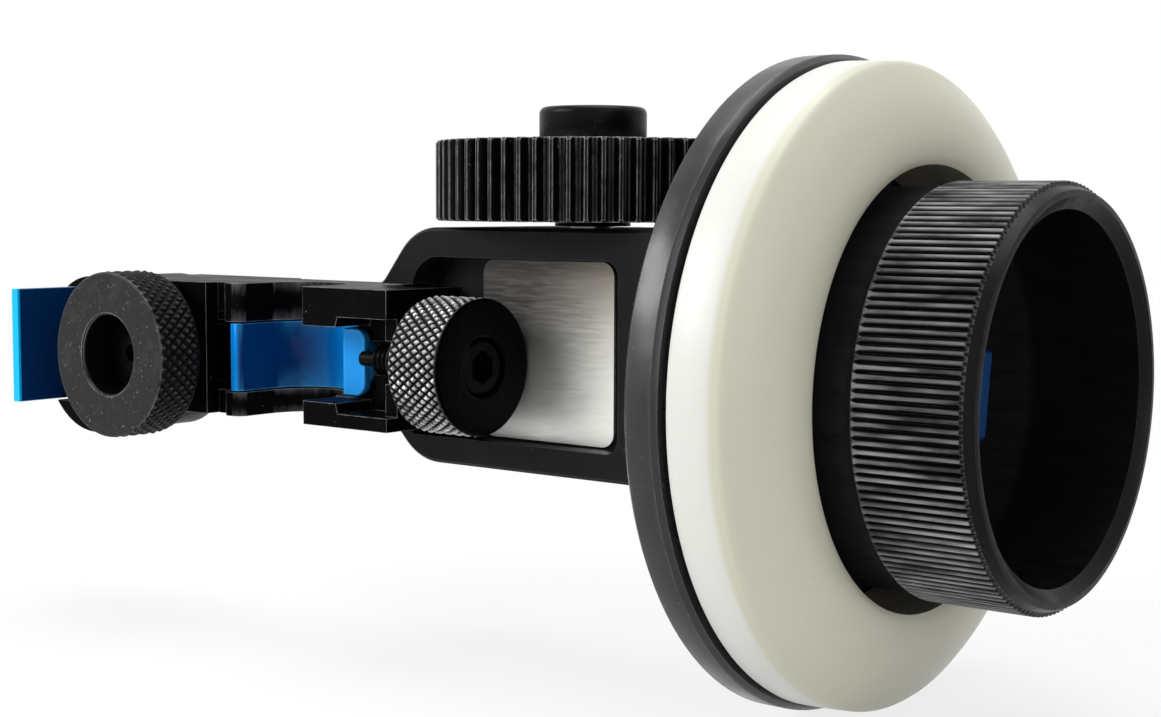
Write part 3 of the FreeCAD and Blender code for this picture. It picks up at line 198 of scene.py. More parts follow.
# ---------------------------------------------------------------- materials
class Paint:
    """A principled material with a few short ways to add detail to it."""

    def __init__(self, name, colour, metallic, roughness, specular=0.5):
        self.material = bpy.data.materials.new(name)
        self.material.use_nodes = True
        self.nodes = self.material.node_tree.nodes
        self.links = self.material.node_tree.links
        self.shader = self.nodes["Principled BSDF"]
        self.shader.inputs["Base Color"].default_value = (*colour, 1)
        self.shader.inputs["Metallic"].default_value = metallic
        self.shader.inputs["Roughness"].default_value = roughness
        self.shader.inputs["Specular IOR Level"].default_value = specular
        self.place = self.nodes.new("ShaderNodeTexCoord").outputs["Object"]
        self.bump_out = None

    def noise(self, scale, detail=4.0, stretch=(1, 1, 1)):
        """Noise whose grains are about 1/scale metres, longer along an axis with a small stretch."""
        mapping = self.nodes.new("ShaderNodeMapping")
        mapping.inputs["Scale"].default_value = stretch
        self.links.new(self.place, mapping.inputs["Vector"])
        texture = self.nodes.new("ShaderNodeTexNoise")
        texture.inputs["Scale"].default_value = scale
        texture.inputs["Detail"].default_value = detail
        self.links.new(mapping.outputs[0], texture.inputs["Vector"])
        return texture.outputs["Fac"]

    def ramp(self, factor, low, high, start=0.0, end=1.0):
        """Maps a factor's range to numbers between low and high."""
        spread = self.nodes.new("ShaderNodeMapRange")
        spread.inputs["From Min"].default_value = start
        spread.inputs["From Max"].default_value = end
        spread.inputs["To Min"].default_value = low
        spread.inputs["To Max"].default_value = high
        self.links.new(factor, spread.inputs["Value"])
        return spread.outputs[0]

    def edges(self, radius):
        """A factor that grows to 1 at the solid's own sharp edges, wherever it is seen from."""
        round_edge = self.nodes.new("ShaderNodeBevel")
        round_edge.samples = 6
        round_edge.inputs["Radius"].default_value = radius
        plain = self.nodes.new("ShaderNodeNewGeometry")
        dot = self.nodes.new("ShaderNodeVectorMath")
        dot.operation = "DOT_PRODUCT"
        self.links.new(round_edge.outputs[0], dot.inputs[0])
        self.links.new(plain.outputs["True Normal"], dot.inputs[1])
        return self.ramp(dot.outputs["Value"], 1.0, 0.0, 0.86, 0.995)

    def tint(self, factor, colour):
        """Mixes another colour in where the factor is 1."""
        mix = self.nodes.new("ShaderNodeMix")
        mix.data_type = "RGBA"
        self.links.new(factor, mix.inputs["Factor"])
        source = self.shader.inputs["Base Color"]
        if source.is_linked:
            self.links.new(source.links[0].from_socket, mix.inputs[6])
        else:
            mix.inputs[6].default_value = source.default_value
        mix.inputs[7].default_value = (*colour, 1)
        self.links.new(mix.outputs[2], source)

    def from_axis(self, point, axis):
        """The distance in metres from an axis through a point, along X or along Y."""
        mapping = self.nodes.new("ShaderNodeMapping")
        keep = (0, 1, 1) if axis == "X" else (1, 0, 1)
        mapping.inputs["Scale"].default_value = keep
        mapping.inputs["Location"].default_value = [-p * k for p, k in zip(point, keep)]
        self.links.new(self.place, mapping.inputs["Vector"])
        length = self.nodes.new("ShaderNodeVectorMath")
        length.operation = "LENGTH"
        self.links.new(mapping.outputs[0], length.inputs[0])
        return length.outputs["Value"]

    def along(self, axis, start, end):
        """A factor that grows from 0 to 1 between two places on the X, Y or Z axis."""
        split = self.nodes.new("ShaderNodeSeparateXYZ")
        self.links.new(self.place, split.inputs[0])
        return self.ramp(split.outputs[axis], 0.0, 1.0, start, end)

    def lathe_rings(self, distance, pitch):
        """Fine rings round an axis, as a turning tool leaves them."""
        wave = self.nodes.new("ShaderNodeMath")
        wave.operation = "SINE"
        scaled = self.nodes.new("ShaderNodeMath")
        scaled.operation = "MULTIPLY"
        scaled.inputs[1].default_value = 2 * math.pi / pitch
        self.links.new(distance, scaled.inputs[0])
        self.links.new(scaled.outputs[0], wave.inputs[0])
        return self.ramp(wave.outputs[0], 0.0, 1.0, -1.0, 1.0)

    def rough(self, factor, low, high, start=0.3, end=0.7):
        """Lets the roughness follow a factor."""
        self.links.new(self.ramp(factor, low, high, start, end), self.shader.inputs["Roughness"])

    def bump(self, height, depth, strength=1.0):
        """Adds relief that the mesh leaves out, of a depth in metres."""
        node = self.nodes.new("ShaderNodeBump")
        node.inputs["Distance"].default_value = depth
        node.inputs["Strength"].default_value = strength
        self.links.new(height, node.inputs["Height"])
        if self.bump_out is not None:
            self.links.new(self.bump_out, node.inputs["Normal"])
        self.bump_out = node.outputs[0]
        self.links.new(self.bump_out, self.shader.inputs["Normal"])

    def combine(self, first, second, operation="MULTIPLY"):
        """The product of two factors, or their sum with ADD."""
        node = self.nodes.new("ShaderNodeMath")
        node.operation = operation
        self.links.new(first, node.inputs[0])
        self.links.new(second, node.inputs[1])
        return node.outputs[0]


def anodised(name, dark, light, roughness, specular, worn_and_lit_edge_radius, worn_and_lit_edge_share, wear_and_highlight_colour):
    """Black anodised metal: a fine grain, faint patches, and its own sharp edges made paler, partly as wear and
    partly as a painted highlight.
    """
    paint = Paint(name, dark, 0.0, roughness, specular)
    patches = paint.noise(90, 5)
    paint.tint(paint.ramp(patches, 0.0, 0.8, 0.35, 0.75), light)
    paint.tint(paint.ramp(paint.noise(1500, 2), 0.0, 0.3, 0.72, 0.78), wear_and_highlight_colour)
    # painted highlight and wear: the sharp edges are tinted paler
    worn_and_lit_edges = paint.combine(paint.edges(worn_and_lit_edge_radius), paint.ramp(paint.noise(500, 4), 0.35, 1, 0.35, 0.6))
    paint.tint(paint.ramp(worn_and_lit_edges, 0.0, worn_and_lit_edge_share), wear_and_highlight_colour)
    paint.rough(patches, roughness - 0.06, roughness + 0.08)
    paint.bump(paint.noise(9000, 3), 0.012 * MM, 0.5)
    return paint.material


def blacks():
    """The anodised blacks: each group of pieces has its own gloss in the photo."""
    return {
        "black_anodised": anodised("black_anodised", (0.0055, 0.0055, 0.0063), (0.0095, 0.0095, 0.0105),
                                   0.40, 0.10, 0.14 * MM, 0.7, (0.16, 0.16, 0.17)),
        "deep_black": anodised("deep_black", (0.0014, 0.0014, 0.0017), (0.0028, 0.0028, 0.0033),
                               0.36, 0.02, 0.16 * MM, 0.95, (0.40, 0.40, 0.41)),
        "black_turned": anodised("black_turned", (0.0028, 0.0028, 0.0033), (0.0055, 0.0055, 0.0062),
                                 0.30, 0.08, 0.13 * MM, 0.8, (0.22, 0.22, 0.23)),
        "screw_black": anodised("screw_black", (0.0016, 0.0016, 0.0019), (0.003, 0.003, 0.0035),
                                0.32, 0.05, 0.1 * MM, 0.12, (0.10, 0.10, 0.10)),
        # the gear's edges are painted nearly white: mostly painted highlight on the tooth edges, some wear
        "gear_black": anodised("gear_black", (0.0016, 0.0016, 0.0019), (0.003, 0.003, 0.0035),
                               0.30, 0.09, 0.3 * MM, 1.0, (0.62, 0.62, 0.63)),
        # the flange's paler edges are partly painted highlight, partly wear
        "flange_black": anodised("flange_black", (0.010, 0.010, 0.0115), (0.020, 0.020, 0.022),
                                 0.27, 0.45, 0.18 * MM, 0.9, (0.36, 0.36, 0.37))}


def ridged_black(grip, ridge_start):
    """The hand knob: black in its grooves and cup, ridge tops pale in streaks from rubbing and painted highlight,
    hub painted lighter.
    """
    paint = Paint("ridged_black", (0.0032, 0.0032, 0.0037), 0.0, 0.3, 0.10)
    reach = paint.from_axis(AXLE, "X")
    worn_and_lit_tips = paint.ramp(reach, 0.0, 1.0, grip - 0.22 * MM, grip - 0.03 * MM)
    dust = paint.noise(650, 5, (0.2, 1, 1))
    zones = paint.noise(38, 2)
    streaks = paint.combine(paint.ramp(dust, 0.12, 1.0, 0.36, 0.66), paint.ramp(zones, 0.4, 1.0, 0.38, 0.6))
    hub = paint.along("X", ridge_start, ridge_start - 1 * MM)
    # painted light: the hub is made lighter for the light it catches
    paint.tint(paint.combine(hub, paint.ramp(dust, 0.5, 1.0, 0.3, 0.7)), (0.013, 0.013, 0.0145))
    # painted highlight and rubbing: the ridges' tops are tinted pale in streaks
    paint.tint(paint.combine(worn_and_lit_tips, streaks), (0.36, 0.36, 0.37))
    # paler edges, partly wear and partly painted highlight
    worn_and_lit_edges = paint.combine(paint.edges(0.1 * MM), paint.ramp(paint.noise(260, 4), 0, 1, 0.25, 0.55))
    paint.tint(paint.ramp(worn_and_lit_edges, 0.0, 0.6), (0.16, 0.16, 0.17))
    paint.rough(dust, 0.26, 0.42)
    paint.bump(paint.noise(7000, 3), 0.01 * MM, 0.5)
    return paint.material


def jaw_knob_black(radius):
    """The left knob: a dusty dark grey face, black knurling with paler tips, a black recess."""
    paint = Paint("jaw_knob_black", (0.003, 0.003, 0.0034), 0.0, 0.42, 0.07)
    reach = paint.from_axis(JAW_SCREW, "Y")
    depth = paint.along("Y", JAW_SCREW.y + 0.8 * MM, JAW_SCREW.y + 0.55 * MM)
    dust = paint.noise(3200, 5)
    face = paint.combine(depth, paint.ramp(reach, 0.0, 1.0, 6.6 * MM, 6.9 * MM))
    paint.tint(paint.combine(face, paint.ramp(dust, 0.7, 1.0, 0.3, 0.7)), (0.026, 0.026, 0.0265))
    paint.tint(paint.combine(face, paint.ramp(paint.noise(2200, 1), 0.0, 1.0, 0.70, 0.74)),
               (0.13, 0.13, 0.13))
    paint.tint(paint.combine(face, paint.ramp(paint.noise(350, 6), 0.0, 0.5, 0.55, 0.75)),
               (0.052, 0.052, 0.053))
    tips = paint.ramp(reach, 0.0, 1.0, radius - 0.2 * MM, radius - 0.02 * MM)
    paint.tint(paint.combine(tips, paint.ramp(paint.noise(600, 4), 0.1, 0.9, 0.35, 0.65)),
               (0.075, 0.075, 0.08))
    # paler edges round the face, partly wear and partly painted highlight
    worn_and_lit_edges = paint.combine(paint.edges(0.09 * MM), paint.ramp(paint.noise(300, 4), 0, 1, 0.3, 0.55))
    paint.tint(paint.ramp(paint.combine(worn_and_lit_edges, depth), 0.0, 0.85), (0.42, 0.42, 0.43))
    paint.rough(dust, 0.36, 0.52)
    paint.bump(dust, 0.012 * MM, 0.6)
    return paint.material


def pressure_knob_black(radius, face):
    """The right knob: a glossy black turned face, and knurling whose tips turn bright metal, partly from wear and
    partly as painted highlights.
    """
    paint = Paint("pressure_knob_black", (0.0008, 0.0008, 0.001), 0.0, 0.26, 0.04)
    reach = paint.from_axis(PAD_SCREW, "X")
    rings = paint.lathe_rings(reach, 0.55 * MM)
    paint.tint(paint.ramp(rings, 0.0, 0.6), (0.002, 0.002, 0.0024))
    tips = paint.combine(paint.ramp(reach, 0.0, 1.0, radius - 0.34 * MM, radius - 0.08 * MM),
                       paint.along("X", face - 0.5 * MM, face - 0.75 * MM))
    # painted highlight and wear: the knurl's tips are tinted bright and made metallic
    worn_and_lit_tips = paint.combine(tips, paint.ramp(paint.noise(420, 5), 0.25, 1.0, 0.3, 0.62))
    paint.tint(worn_and_lit_tips, (0.62, 0.62, 0.63))
    paint.links.new(paint.ramp(worn_and_lit_tips, 0.0, 0.8), paint.shader.inputs["Metallic"])
    paint.rough(paint.noise(900, 4), 0.2, 0.34)
    paint.bump(rings, 0.006 * MM, 0.5)
    return paint.material


def blue_anodised():
    """Bright blue anodised aluminium, with painted shade in the seat, on the thumb tab and in the crank's socket,
    and painted highlights on the pad and edges.
    """
    paint = Paint("blue_anodised", (0.0, 0.25, 0.78), 0.1, 0.3, 0.14)
    lines = paint.noise(90, 3, (1, 1, 30))
    paint.tint(paint.ramp(paint.noise(160, 3), 0.0, 0.5, 0.35, 0.75), (0.0, 0.19, 0.64))
    # painted shade: the seat's curved inside is made darker
    seat_shade = paint.combine(paint.along("X", -8.3 * MM, -7.7 * MM), paint.along("X", 4.0 * MM, -6.0 * MM))
    seat_shade = paint.combine(seat_shade, paint.along("Y", 8.6 * MM, 8.0 * MM))
    paint.tint(paint.ramp(seat_shade, 0.0, 0.93), (0.0, 0.012, 0.075))
    # painted shade: the thumb tab is made darker
    paint.tint(paint.ramp(paint.along("X", -44 * MM, -48 * MM), 0.0, 0.93), (0.001, 0.009, 0.055))
    # painted highlight: the pad is made brighter, most of all at its edges
    pad = paint.combine(paint.along("X", 10 * MM, 10.5 * MM), paint.along("X", 30 * MM, 25 * MM))
    paint.tint(paint.ramp(pad, 0.0, 0.55), (0.02, 0.36, 0.92))
    paint.tint(paint.combine(pad, paint.edges(0.9 * MM)), (0.10, 0.52, 1.0))
    # painted shade: the crank's socket is made darker
    paint.tint(paint.ramp(paint.along("X", 90 * MM, 95 * MM), 0.0, 0.9), (0.001, 0.010, 0.06))
    # paler cyan edges, partly wear and partly painted highlight
    edges = paint.edges(0.25 * MM)
    worn_and_lit_edges = paint.combine(edges, paint.ramp(paint.noise(400, 4), 0.35, 1, 0.3, 0.55))
    paint.tint(paint.ramp(worn_and_lit_edges, 0.0, 0.9), (0.03, 0.45, 0.95))
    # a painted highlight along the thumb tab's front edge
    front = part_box("rod_jaw")[0].y
    tab_front = paint.combine(paint.along("X", -50 * MM, -55 * MM),
                            paint.along("Y", front + 0.6 * MM, front + 0.3 * MM))
    paint.tint(paint.ramp(tab_front, 0.0, 0.95), (0.0, 0.50, 1.0))
    paint.rough(lines, 0.29, 0.32)
    paint.bump(lines, 0.004 * MM, 0.05)
    return paint.material


def ivory_plastic():
    """The marking disc's milky plastic: smooth, semi matt, a little light goes into it."""
    paint = Paint("ivory_plastic", (0.69, 0.695, 0.655), 0.0, 0.36, 0.42)
    shader = paint.shader
    shader.inputs["Subsurface Weight"].default_value = 0.25
    shader.inputs["Subsurface Radius"].default_value = (1.0, 0.8, 0.55)
    shader.inputs["Subsurface Scale"].default_value = 2.0 * MM
    clouds = paint.noise(45, 3)
    paint.tint(paint.ramp(clouds, 0.0, 0.5, 0.35, 0.8), (0.655, 0.66, 0.61))
    low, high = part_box("marking_disc")
    hole = paint.from_axis(AXLE, "X")
    # painted light: the wall of the hole is tinted pale and warm for light coming through the plastic
    paint.tint(paint.ramp(hole, 0.8, 0.0, 31.5 * MM, 31.9 * MM), (0.93, 0.76, 0.60))
    # painted shade: the face is made darker than the rim
    paint.tint(paint.ramp(paint.along("X", low.x + 5.9 * MM, low.x + 6.9 * MM), 0.0, 0.9),
               (0.585, 0.572, 0.455))
    scuffs = paint.noise(900, 6, (1, 0.25, 1))
    paint.tint(paint.ramp(scuffs, 0.0, 0.25, 0.68, 0.76), (0.5, 0.48, 0.42))
    paint.rough(clouds, 0.3, 0.44)
    paint.bump(paint.noise(2500, 3), 0.01 * MM, 0.25)
    return paint.material


def bare_plate():
    """Bare satin aluminium, brushed along the plate, with painted shade that darkens it towards its upper left."""
    low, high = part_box("name_plate")
    paint = Paint("bare_plate", (0.95, 0.95, 0.90), 0.6, 0.32, 0.5)
    brushed = paint.noise(260, 4, (1, 1, 12))
    paint.tint(paint.ramp(paint.noise(60, 4), 0.0, 0.3, 0.4, 0.75), (0.80, 0.79, 0.73))
    up, left = paint.along("Z", low.z, high.z), paint.along("X", high.x, low.x)
    # painted shade, brownish, darker towards the top
    paint.tint(paint.ramp(up, 0.0, 0.88, 0.35, 0.95), (0.19, 0.155, 0.105))
    # painted shade towards the upper left
    shade = paint.combine(paint.ramp(up, 0.0, 0.62), paint.ramp(left, 0.0, 0.75), "ADD")
    paint.tint(paint.ramp(shade, 0.0, 0.9, 0.42, 0.95), (0.03, 0.028, 0.028))
    paint.tint(paint.ramp(brushed, 0.0, 0.12, 0.45, 0.7), (0.50, 0.48, 0.43))
    paint.rough(brushed, 0.3, 0.42)
    paint.bump(brushed, 0.008 * MM, 0.4)
    return paint.material


def bright_steel():
    paint = Paint("bright_steel", (0.55, 0.55, 0.56), 1.0, 0.3)
    turned = paint.noise(900, 4, (1, 1, 6))
    paint.tint(paint.ramp(turned, 0.0, 0.5, 0.4, 0.7), (0.42, 0.42, 0.43))
    paint.rough(turned, 0.22, 0.38)
    paint.bump(turned, 0.01 * MM, 0.4)
    return paint.material


def bronze():
    paint = Paint("bronze", (0.56, 0.34, 0.14), 1.0, 0.34)
    pores = paint.noise(3500, 3)
    paint.tint(paint.ramp(pores, 0.0, 0.7, 0.58, 0.72), (0.26, 0.15, 0.06))
    paint.rough(pores, 0.3, 0.5)
    paint.bump(pores, 0.01 * MM, 0.5)
    return paint.material


def magnet_nickel():
    paint = Paint("magnet_nickel", (0.66, 0.65, 0.62), 1.0, 0.22)
    scratches = paint.noise(1200, 5, (1, 5, 1))
    paint.tint(paint.ramp(scratches, 0.0, 0.5, 0.5, 0.75), (0.45, 0.44, 0.42))
    paint.rough(scratches, 0.16, 0.32)
    return paint.material


# the width in mm of the rounding of each CAD node's edges
SOFT_EDGES = {"clamp_arm": 0.22, "jaw_bracket": 0.3, "rod_jaw": 0.25, "pressure_pad": 0.3,
              "gearbox_housing": 0.3, "gearbox_lid": 0.25, "jaw_keeper": 0.25, "name_plate": 0.1,
              "wheel_flange": 0.2, "gear_cap_nut": 0.3, "crank_socket": 0.2, "drive_gear": 0.1,
              "gear_collar": 0.1}
EDGE_ANGLE = math.radians(32)


def soften_edges(node, width):
    """Rounds a piece's sharp edges by a small width in mm, so that they catch the light."""
    weld = node.modifiers.new("weld", "WELD")
    weld.merge_threshold = 0.001 * MM
    bevel = node.modifiers.new("soft_edges", "BEVEL")
    bevel.width = width * MM
    bevel.segments = 2
    bevel.limit_method = "ANGLE"
    bevel.angle_limit = EDGE_ANGLE
    bevel.harden_normals = True
    bevel.use_clamp_overlap = True


OWN_MATERIAL = {"clamp_arm": "deep_black", "jaw_bracket": "deep_black", "jaw_keeper": "deep_black",
                "screw_bush": "deep_black", "jaw_lock_screw": "screw_black",
                "drive_gear": "gear_black", "wheel_flange": "flange_black"}


def dress_frame(materials):
    """Gives every CAD node the material of its slot or its own, and the main ones softer edges."""
    for part in frame["record"]["subparts"]:
        node = frame["nodes"][part["node"]]
        node.data.materials.clear()
        name = OWN_MATERIAL.get(part["node"], part["material_slot"])
        node.data.materials.append(materials[name])
        if part["node"] in SOFT_EDGES:
            soften_edges(node, SOFT_EDGES[part["node"]])


# ---------------------------------------------------------------- round pieces in mesh code
def ring_mesh(name, rows, steps, origin, axis, capped=False):
    """A closed mesh of rings: the last row joins the first one, or a face caps each of the two.

    A row is (place along axis, radius), or a function of the angle that gives these."""
    frames = {"X": (Vector((1, 0, 0)), Vector((0, 1, 0)), Vector((0, 0, 1))),
              "-Y": (Vector((0, -1, 0)), Vector((1, 0, 0)), Vector((0, 0, 1))),
              "Z": (Vector((0, 0, 1)), Vector((1, 0, 0)), Vector((0, 1, 0)))}
    along, across, up = frames[axis]
    points = []
    for row in rows:
        for step in range(steps):
            angle = 2 * math.pi * step / steps
            place, radius = row(angle) if callable(row) else row
            points.append(origin + along * place
                          + (across * math.cos(angle) + up * math.sin(angle)) * radius)
    faces = []
    for i in range(len(rows) - 1 if capped else len(rows)):
        this, following = i * steps, (i + 1) % len(rows) * steps
        for step in range(steps):
            after = (step + 1) % steps
            faces.append((this + step, this + after, following + after, following + step))
    if capped:
        last = (len(rows) - 1) * steps
        faces += [tuple(range(steps)), tuple(range(last, last + steps))]
    mesh = bpy.data.meshes.new(name)
    mesh.from_pydata(points, [], faces)
    mesh.update()
    piece = bpy.data.objects.new(name, mesh)
    bpy.context.scene.collection.objects.link(piece)
    return piece


def finish_piece(piece, node, body, material, smooth_angle):
    """Smooth shading, outward faces, material, and the CAD node that the piece stands for."""
    piece.data.materials.append(material)
    bpy.context.view_layer.objects.active = piece
    for other in bpy.context.selected_objects:
        other.select_set(False)
    piece.select_set(True)
    bpy.ops.object.mode_set(mode="EDIT")
    bpy.ops.mesh.select_all(action="SELECT")
    bpy.ops.mesh.normals_make_consistent(inside=False)
    bpy.ops.object.mode_set(mode="OBJECT")
    bpy.ops.object.shade_smooth_by_angle(angle=math.radians(smooth_angle))
    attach(piece, body)
    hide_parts(node)


def wave(phase):
    """A triangle wave: 0 at whole numbers, 1 halfway between them."""
    return 1 - abs(2 * (phase - math.floor(phase)) - 1)


RIDGE_COUNT = 150
RIDGE_DEPTH = 0.7 * MM
RIDGE_SAMPLES = 8
RIDGE_TOP = 0.38
RIDGE_RUN_OUT = 1.1 * MM


def make_hand_knob():
    """The cup with straight ridges round its grip."""
    low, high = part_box("hand_knob")
    start, end = low.x - AXLE.x, high.x - AXLE.x
    grip = (high.y - low.y) / 2
    hub = grip - 0.8 * MM
    ridge_start, ridge_end = start + 17.1 * MM, end - 1.8 * MM
    rim, mouth, cup = grip - 1.0 * MM, grip - 2.2 * MM, grip - 3.8 * MM
    floor = start + 8 * MM

    def ridged(place, lift, rise=1.0):
        """A ridged row. Near the hub the ridges' tops rise from the hub's level to the grip's."""
        def row(angle):
            groove = 1 - wave(angle / (2 * math.pi) * RIDGE_COUNT)
            slope = max(0.0, (groove - RIDGE_TOP) / (1 - RIDGE_TOP))
            top = hub + (grip - hub) * min(1.0, rise * 3)
            return place, min(top, grip - max(0.0, slope ** 0.85 * RIDGE_DEPTH - lift))
        return row

    rows = [(start, 8 * MM), (start, hub - 0.3 * MM), (start + 0.3 * MM, hub),
            (ridge_start - 0.9 * MM, hub), (ridge_start - 0.4 * MM, hub + 0.02 * MM)]
    for share in (0.0, 0.25, 0.5, 0.75, 1.0):
        rows.append(ridged(ridge_start + share * RIDGE_RUN_OUT, RIDGE_DEPTH * (1 - share), share))
    rows.append(ridged((ridge_start + ridge_end) / 2, 0))
    for share in (1.0, 0.66, 0.33, 0.0):
        rows.append(ridged(ridge_end - share * RIDGE_RUN_OUT, 0))
    rows += [(ridge_end + 0.35 * MM, rim + 0.35 * MM), (end - 0.45 * MM, rim),
             (end - 0.1 * MM, rim - 0.2 * MM), (end, rim - 0.5 * MM), (end, mouth + 0.1 * MM),
             (end - 0.15 * MM, mouth), (end - 1.3 * MM, cup + 0.05 * MM), (end - 1.6 * MM, cup),
             (floor + 2 * MM, cup), (floor + 1 * MM, cup - 0.3 * MM), (floor + 0.3 * MM, cup - 1 * MM),
             (floor, cup - 2 * MM), (floor, 3 * MM)]
    piece = ring_mesh("hand_knob_ridged", rows, RIDGE_COUNT * RIDGE_SAMPLES, AXLE, "X")
    finish_piece(piece, "hand_knob", "wheel",
                 ridged_black(grip, AXLE.x + ridge_start), 30)


JAW_KNURLS = 50
JAW_KNURL_LEAN = 1.2
PRESSURE_KNURLS = 46
PRESSURE_KNURL_LEAN = 1.4
KNURL_SAMPLES = 9
KNURL_DEPTH = 0.5 * MM
KNURL_END_DEPTH = 0.3 * MM
KNURL_RUN_OUT = 0.35 * MM


def knurled_rows(start, end, radius, count, lean):
    """Rows of a diamond knurled band between two places along the axis."""
    pitch = 2 * math.pi * radius / count * lean
    rows = []
    steps = max(8, int(round((end - start) / pitch * KNURL_SAMPLES)))

    def knurled(place, share):
        def row(angle):
            turns = angle / (2 * math.pi) * count
            along = (place - start) / pitch
            height = min(wave(turns + along), wave(turns - along))
            groove = KNURL_DEPTH * (1 - min(1.0, height * 1.25))
            return place, radius - groove * share - KNURL_END_DEPTH * (1 - share)
        return row

    for i in range(steps + 1):
        place = start + (end - start) * i / steps
        nearest = min(place - start, end - place)
        rows.append(knurled(place, min(1.0, nearest / KNURL_RUN_OUT + 0.0001)))
    return rows


def make_jaw_knob():
    """The left lock knob: diamond knurling, a fine grained face and a deep round recess."""
    low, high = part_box("jaw_knob")
    face, back = JAW_SCREW.y - low.y, JAW_SCREW.y - high.y
    radius = (high.x - low.x) / 2
    back += 2.7 * MM
    bore, floor = 6.8 * MM, back + 2.6 * MM
    rows = [(back - 2.7 * MM, 3 * MM), (back - 2.7 * MM, 7 * MM), (back, 7 * MM),
            (back, radius - 0.6 * MM), (back + 0.25 * MM, radius - 0.35 * MM)]
    rows += knurled_rows(back + 0.4 * MM, face - 0.45 * MM, radius, JAW_KNURLS, JAW_KNURL_LEAN)
    rows += [(face - 0.2 * MM, radius - 0.12 * MM), (face - 0.05 * MM, radius - 0.3 * MM),
             (face, radius - 0.5 * MM), (face, radius - 0.65 * MM), (face, bore + 0.45 * MM),
             (face, bore + 0.3 * MM), (face - 0.3 * MM, bore), (face - 0.5 * MM, bore),
             (floor, bore), (floor, 3 * MM)]
    piece = ring_mesh("jaw_knob_knurled", rows, JAW_KNURLS * KNURL_SAMPLES, JAW_SCREW, "-Y")
    finish_piece(piece, "jaw_knob", "left_knob", jaw_knob_black(radius), 50)


def make_pressure_knob():
    """The right knob: bright rubbed knurling and a smooth black face round its screw."""
    low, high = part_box("pressure_knob")
    back, face = low.x - PAD_SCREW.x, high.x - PAD_SCREW.x
    radius = (high.y - low.y) / 2
    bore, seat = 4.7 * MM, face - 4.0 * MM
    rows = [(back, 2.5 * MM), (back, radius - 0.8 * MM), (back + 0.4 * MM, radius - 0.4 * MM)]
    rows += knurled_rows(back + 0.5 * MM, face - 0.6 * MM, radius, PRESSURE_KNURLS,
                         PRESSURE_KNURL_LEAN)
    rows += [(face - 0.25 * MM, radius - 0.15 * MM), (face, radius - 0.5 * MM),
             (face, radius - 0.65 * MM), (face, bore + 0.4 * MM), (face, bore + 0.25 * MM),
             (face - 0.2 * MM, bore), (seat, bore), (seat, 2.5 * MM)]
    piece = ring_mesh("pressure_knob_knurled", rows, PRESSURE_KNURLS * KNURL_SAMPLES, PAD_SCREW, "X")
    finish_piece(piece, "pressure_knob", "right_knob",
                 pressure_knob_black(radius, high.x), 50)


def prism(name, outline, front, back):
    """A plate between two places on the Y axis. Its outline is a list of (x, z)."""
    count = len(outline)
    points = [Vector((x, y, z)) for y in (front, back) for x, z in outline]
    faces = [tuple(range(count)), tuple(range(2 * count - 1, count - 1, -1))]
    faces += [(i, (i + 1) % count, count + (i + 1) % count, count + i) for i in range(count)]
    mesh = bpy.data.meshes.new(name)
    mesh.from_pydata(points, [], faces)
    mesh.update()
    piece = bpy.data.objects.new(name, mesh)
    bpy.context.scene.collection.objects.link(piece)
    return piece


PAD_HEAD = 1.5 * MM
PAD_CORNER = 2.1 * MM


def make_pressure_pad(materials):
    """The pad: a head with round corners stands on the body that slides in the arm's pocket."""
    low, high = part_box("pressure_pad")
    half = (high.z - low.z) / 2
    corner = [(high.x - PAD_CORNER + PAD_CORNER * math.sin(math.radians(turn)),
               half - PAD_CORNER + PAD_CORNER * math.cos(math.radians(turn)))
              for turn in range(0, 91, 10)]
    head = [(low.x, -half), (low.x, half)] + corner + [(x, -z) for x, z in reversed(corner)]
    piece = prism("pressure_pad_head", head, low.y, low.y + PAD_HEAD)
    soften_edges(piece, 0.35)
    finish_piece(piece, "pressure_pad", "pad", materials["blue_anodised"], 40)
    body = [(low.x, -half), (low.x, half)]
    body += [(min(high.x, low.x + half * math.sin(math.radians(turn))),
              half * math.cos(math.radians(turn))) for turn in range(5, 176, 5)]
    piece = prism("pressure_pad_body", body, low.y + PAD_HEAD, high.y)
    finish_piece(piece, "pressure_pad", "pad", materials["blue_anodised"], 40)


THREAD_PITCH = 1.0 * MM


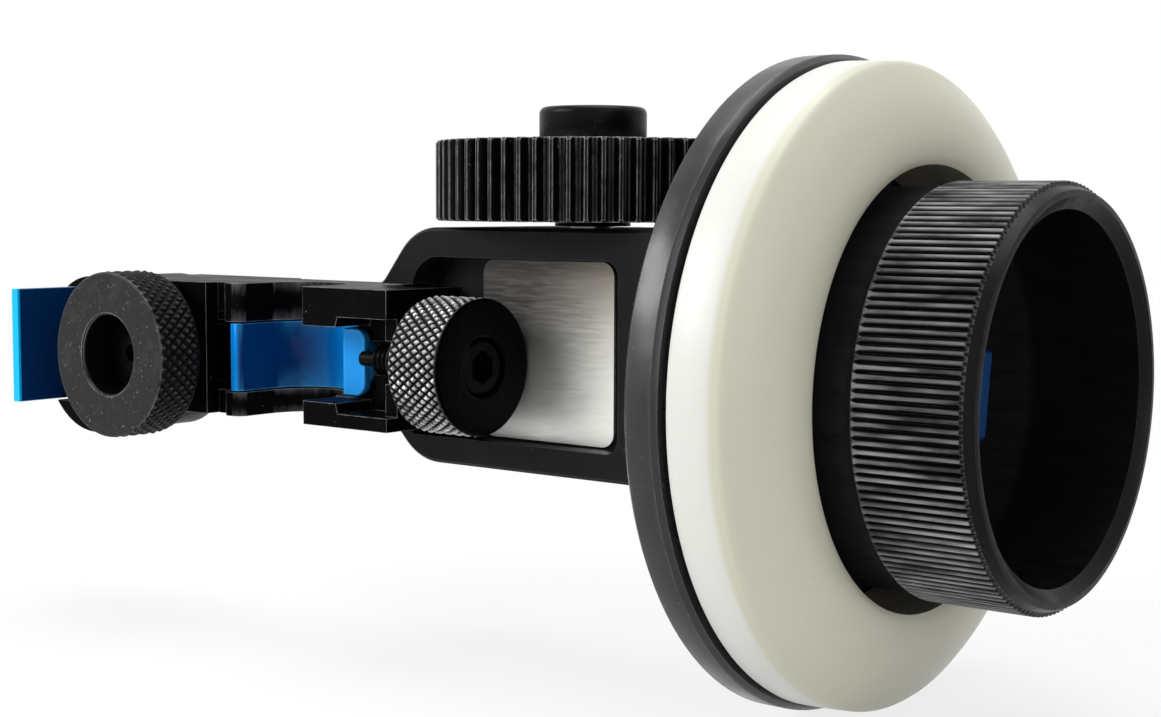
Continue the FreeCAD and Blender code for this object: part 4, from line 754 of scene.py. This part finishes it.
def make_pressure_screw(materials):
    """The pressure screw: a slim tip at the pad, a rolled thread, a round head with a hexagon."""
    low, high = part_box("pressure_screw")
    tip, face = low.x - PAD_SCREW.x, high.x - PAD_SCREW.x
    head, thread, core = (high.y - low.y) / 2, 2.5 * MM, 2.05 * MM
    shoulder, seat = tip + 4.2 * MM, face - 3.8 * MM

    def hexagon(place):
        def row(angle):
            turn = (angle + math.pi / 6) % (math.pi / 3) - math.pi / 6
            return place, 2.34 * MM / math.cos(turn)
        return row

    rows = [(tip, 0.1 * MM), (tip, 0.9 * MM), (tip + 0.3 * MM, 1.2 * MM), (shoulder, 1.2 * MM),
            (shoulder, 1.9 * MM)]
    for i in range(int((seat - shoulder) / THREAD_PITCH)):
        start = shoulder + i * THREAD_PITCH
        rows += [(start + share * THREAD_PITCH, radius)
                 for share, radius in ((0.44, thread), (0.62, thread), (1.0, core))]
    rows += [(seat, core), (seat, head), (face - 0.5 * MM, head), (face, head - 0.5 * MM),
             (face, 2.9 * MM), hexagon(face), hexagon(face - 2.2 * MM), (face - 2.2 * MM, 0.1 * MM)]
    piece = ring_mesh("pressure_screw_threaded", rows, 96, PAD_SCREW, "X", capped=True)
    finish_piece(piece, "pressure_screw", "right_knob",
                 materials["screw_black"], 35)


def make_marking_disc(materials):
    """The disc with a straight rim, a gently domed face and a round edge into its hole."""
    low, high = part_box("marking_disc")
    back, face = low.x - AXLE.x, high.x - AXLE.x
    outer = (high.y - low.y) / 2
    hole = 31.4 * MM
    # each pair is a share of the disc's thickness and a share of its radius
    dome = [(0.575, 0.993), (0.62, 0.984), (0.66, 0.970), (0.74, 0.942), (0.83, 0.905), (0.905, 0.865),
            (0.955, 0.825), (0.985, 0.79), (1.0, 0.757), (1.0, 0.735), (0.995, 0.712), (0.983, 0.697)]
    rows = [(back, hole), (back, outer - 0.6 * MM), (back + 0.2 * MM, outer - 0.2 * MM),
            (back + 0.7 * MM, outer), (back + 4 * MM, outer * 0.998)]
    rows += [(back + (face - back) * along, outer * out) for along, out in dome]
    rows += [(back + (face - back) * 0.955, hole), (back + (face - back) * 0.5, hole)]
    piece = ring_mesh("marking_disc_domed", rows, 256, AXLE, "X")
    finish_piece(piece, "marking_disc", "disc", materials["white_plastic"], 35)


# ---------------------------------------------------------------- put together
def main():
    make_camera()
    make_studio()
    materials = {
        **blacks(), "blue_anodised": blue_anodised(),
        "white_plastic": ivory_plastic(), "bare_plate": bare_plate(),
        "bright_steel": bright_steel(), "bronze": bronze(), "magnet_nickel": magnet_nickel()}
    dress_frame(materials)
    make_hand_knob()
    make_jaw_knob()
    make_pressure_knob()
    make_pressure_pad(materials)
    make_pressure_screw(materials)
    make_marking_disc(materials)


main()
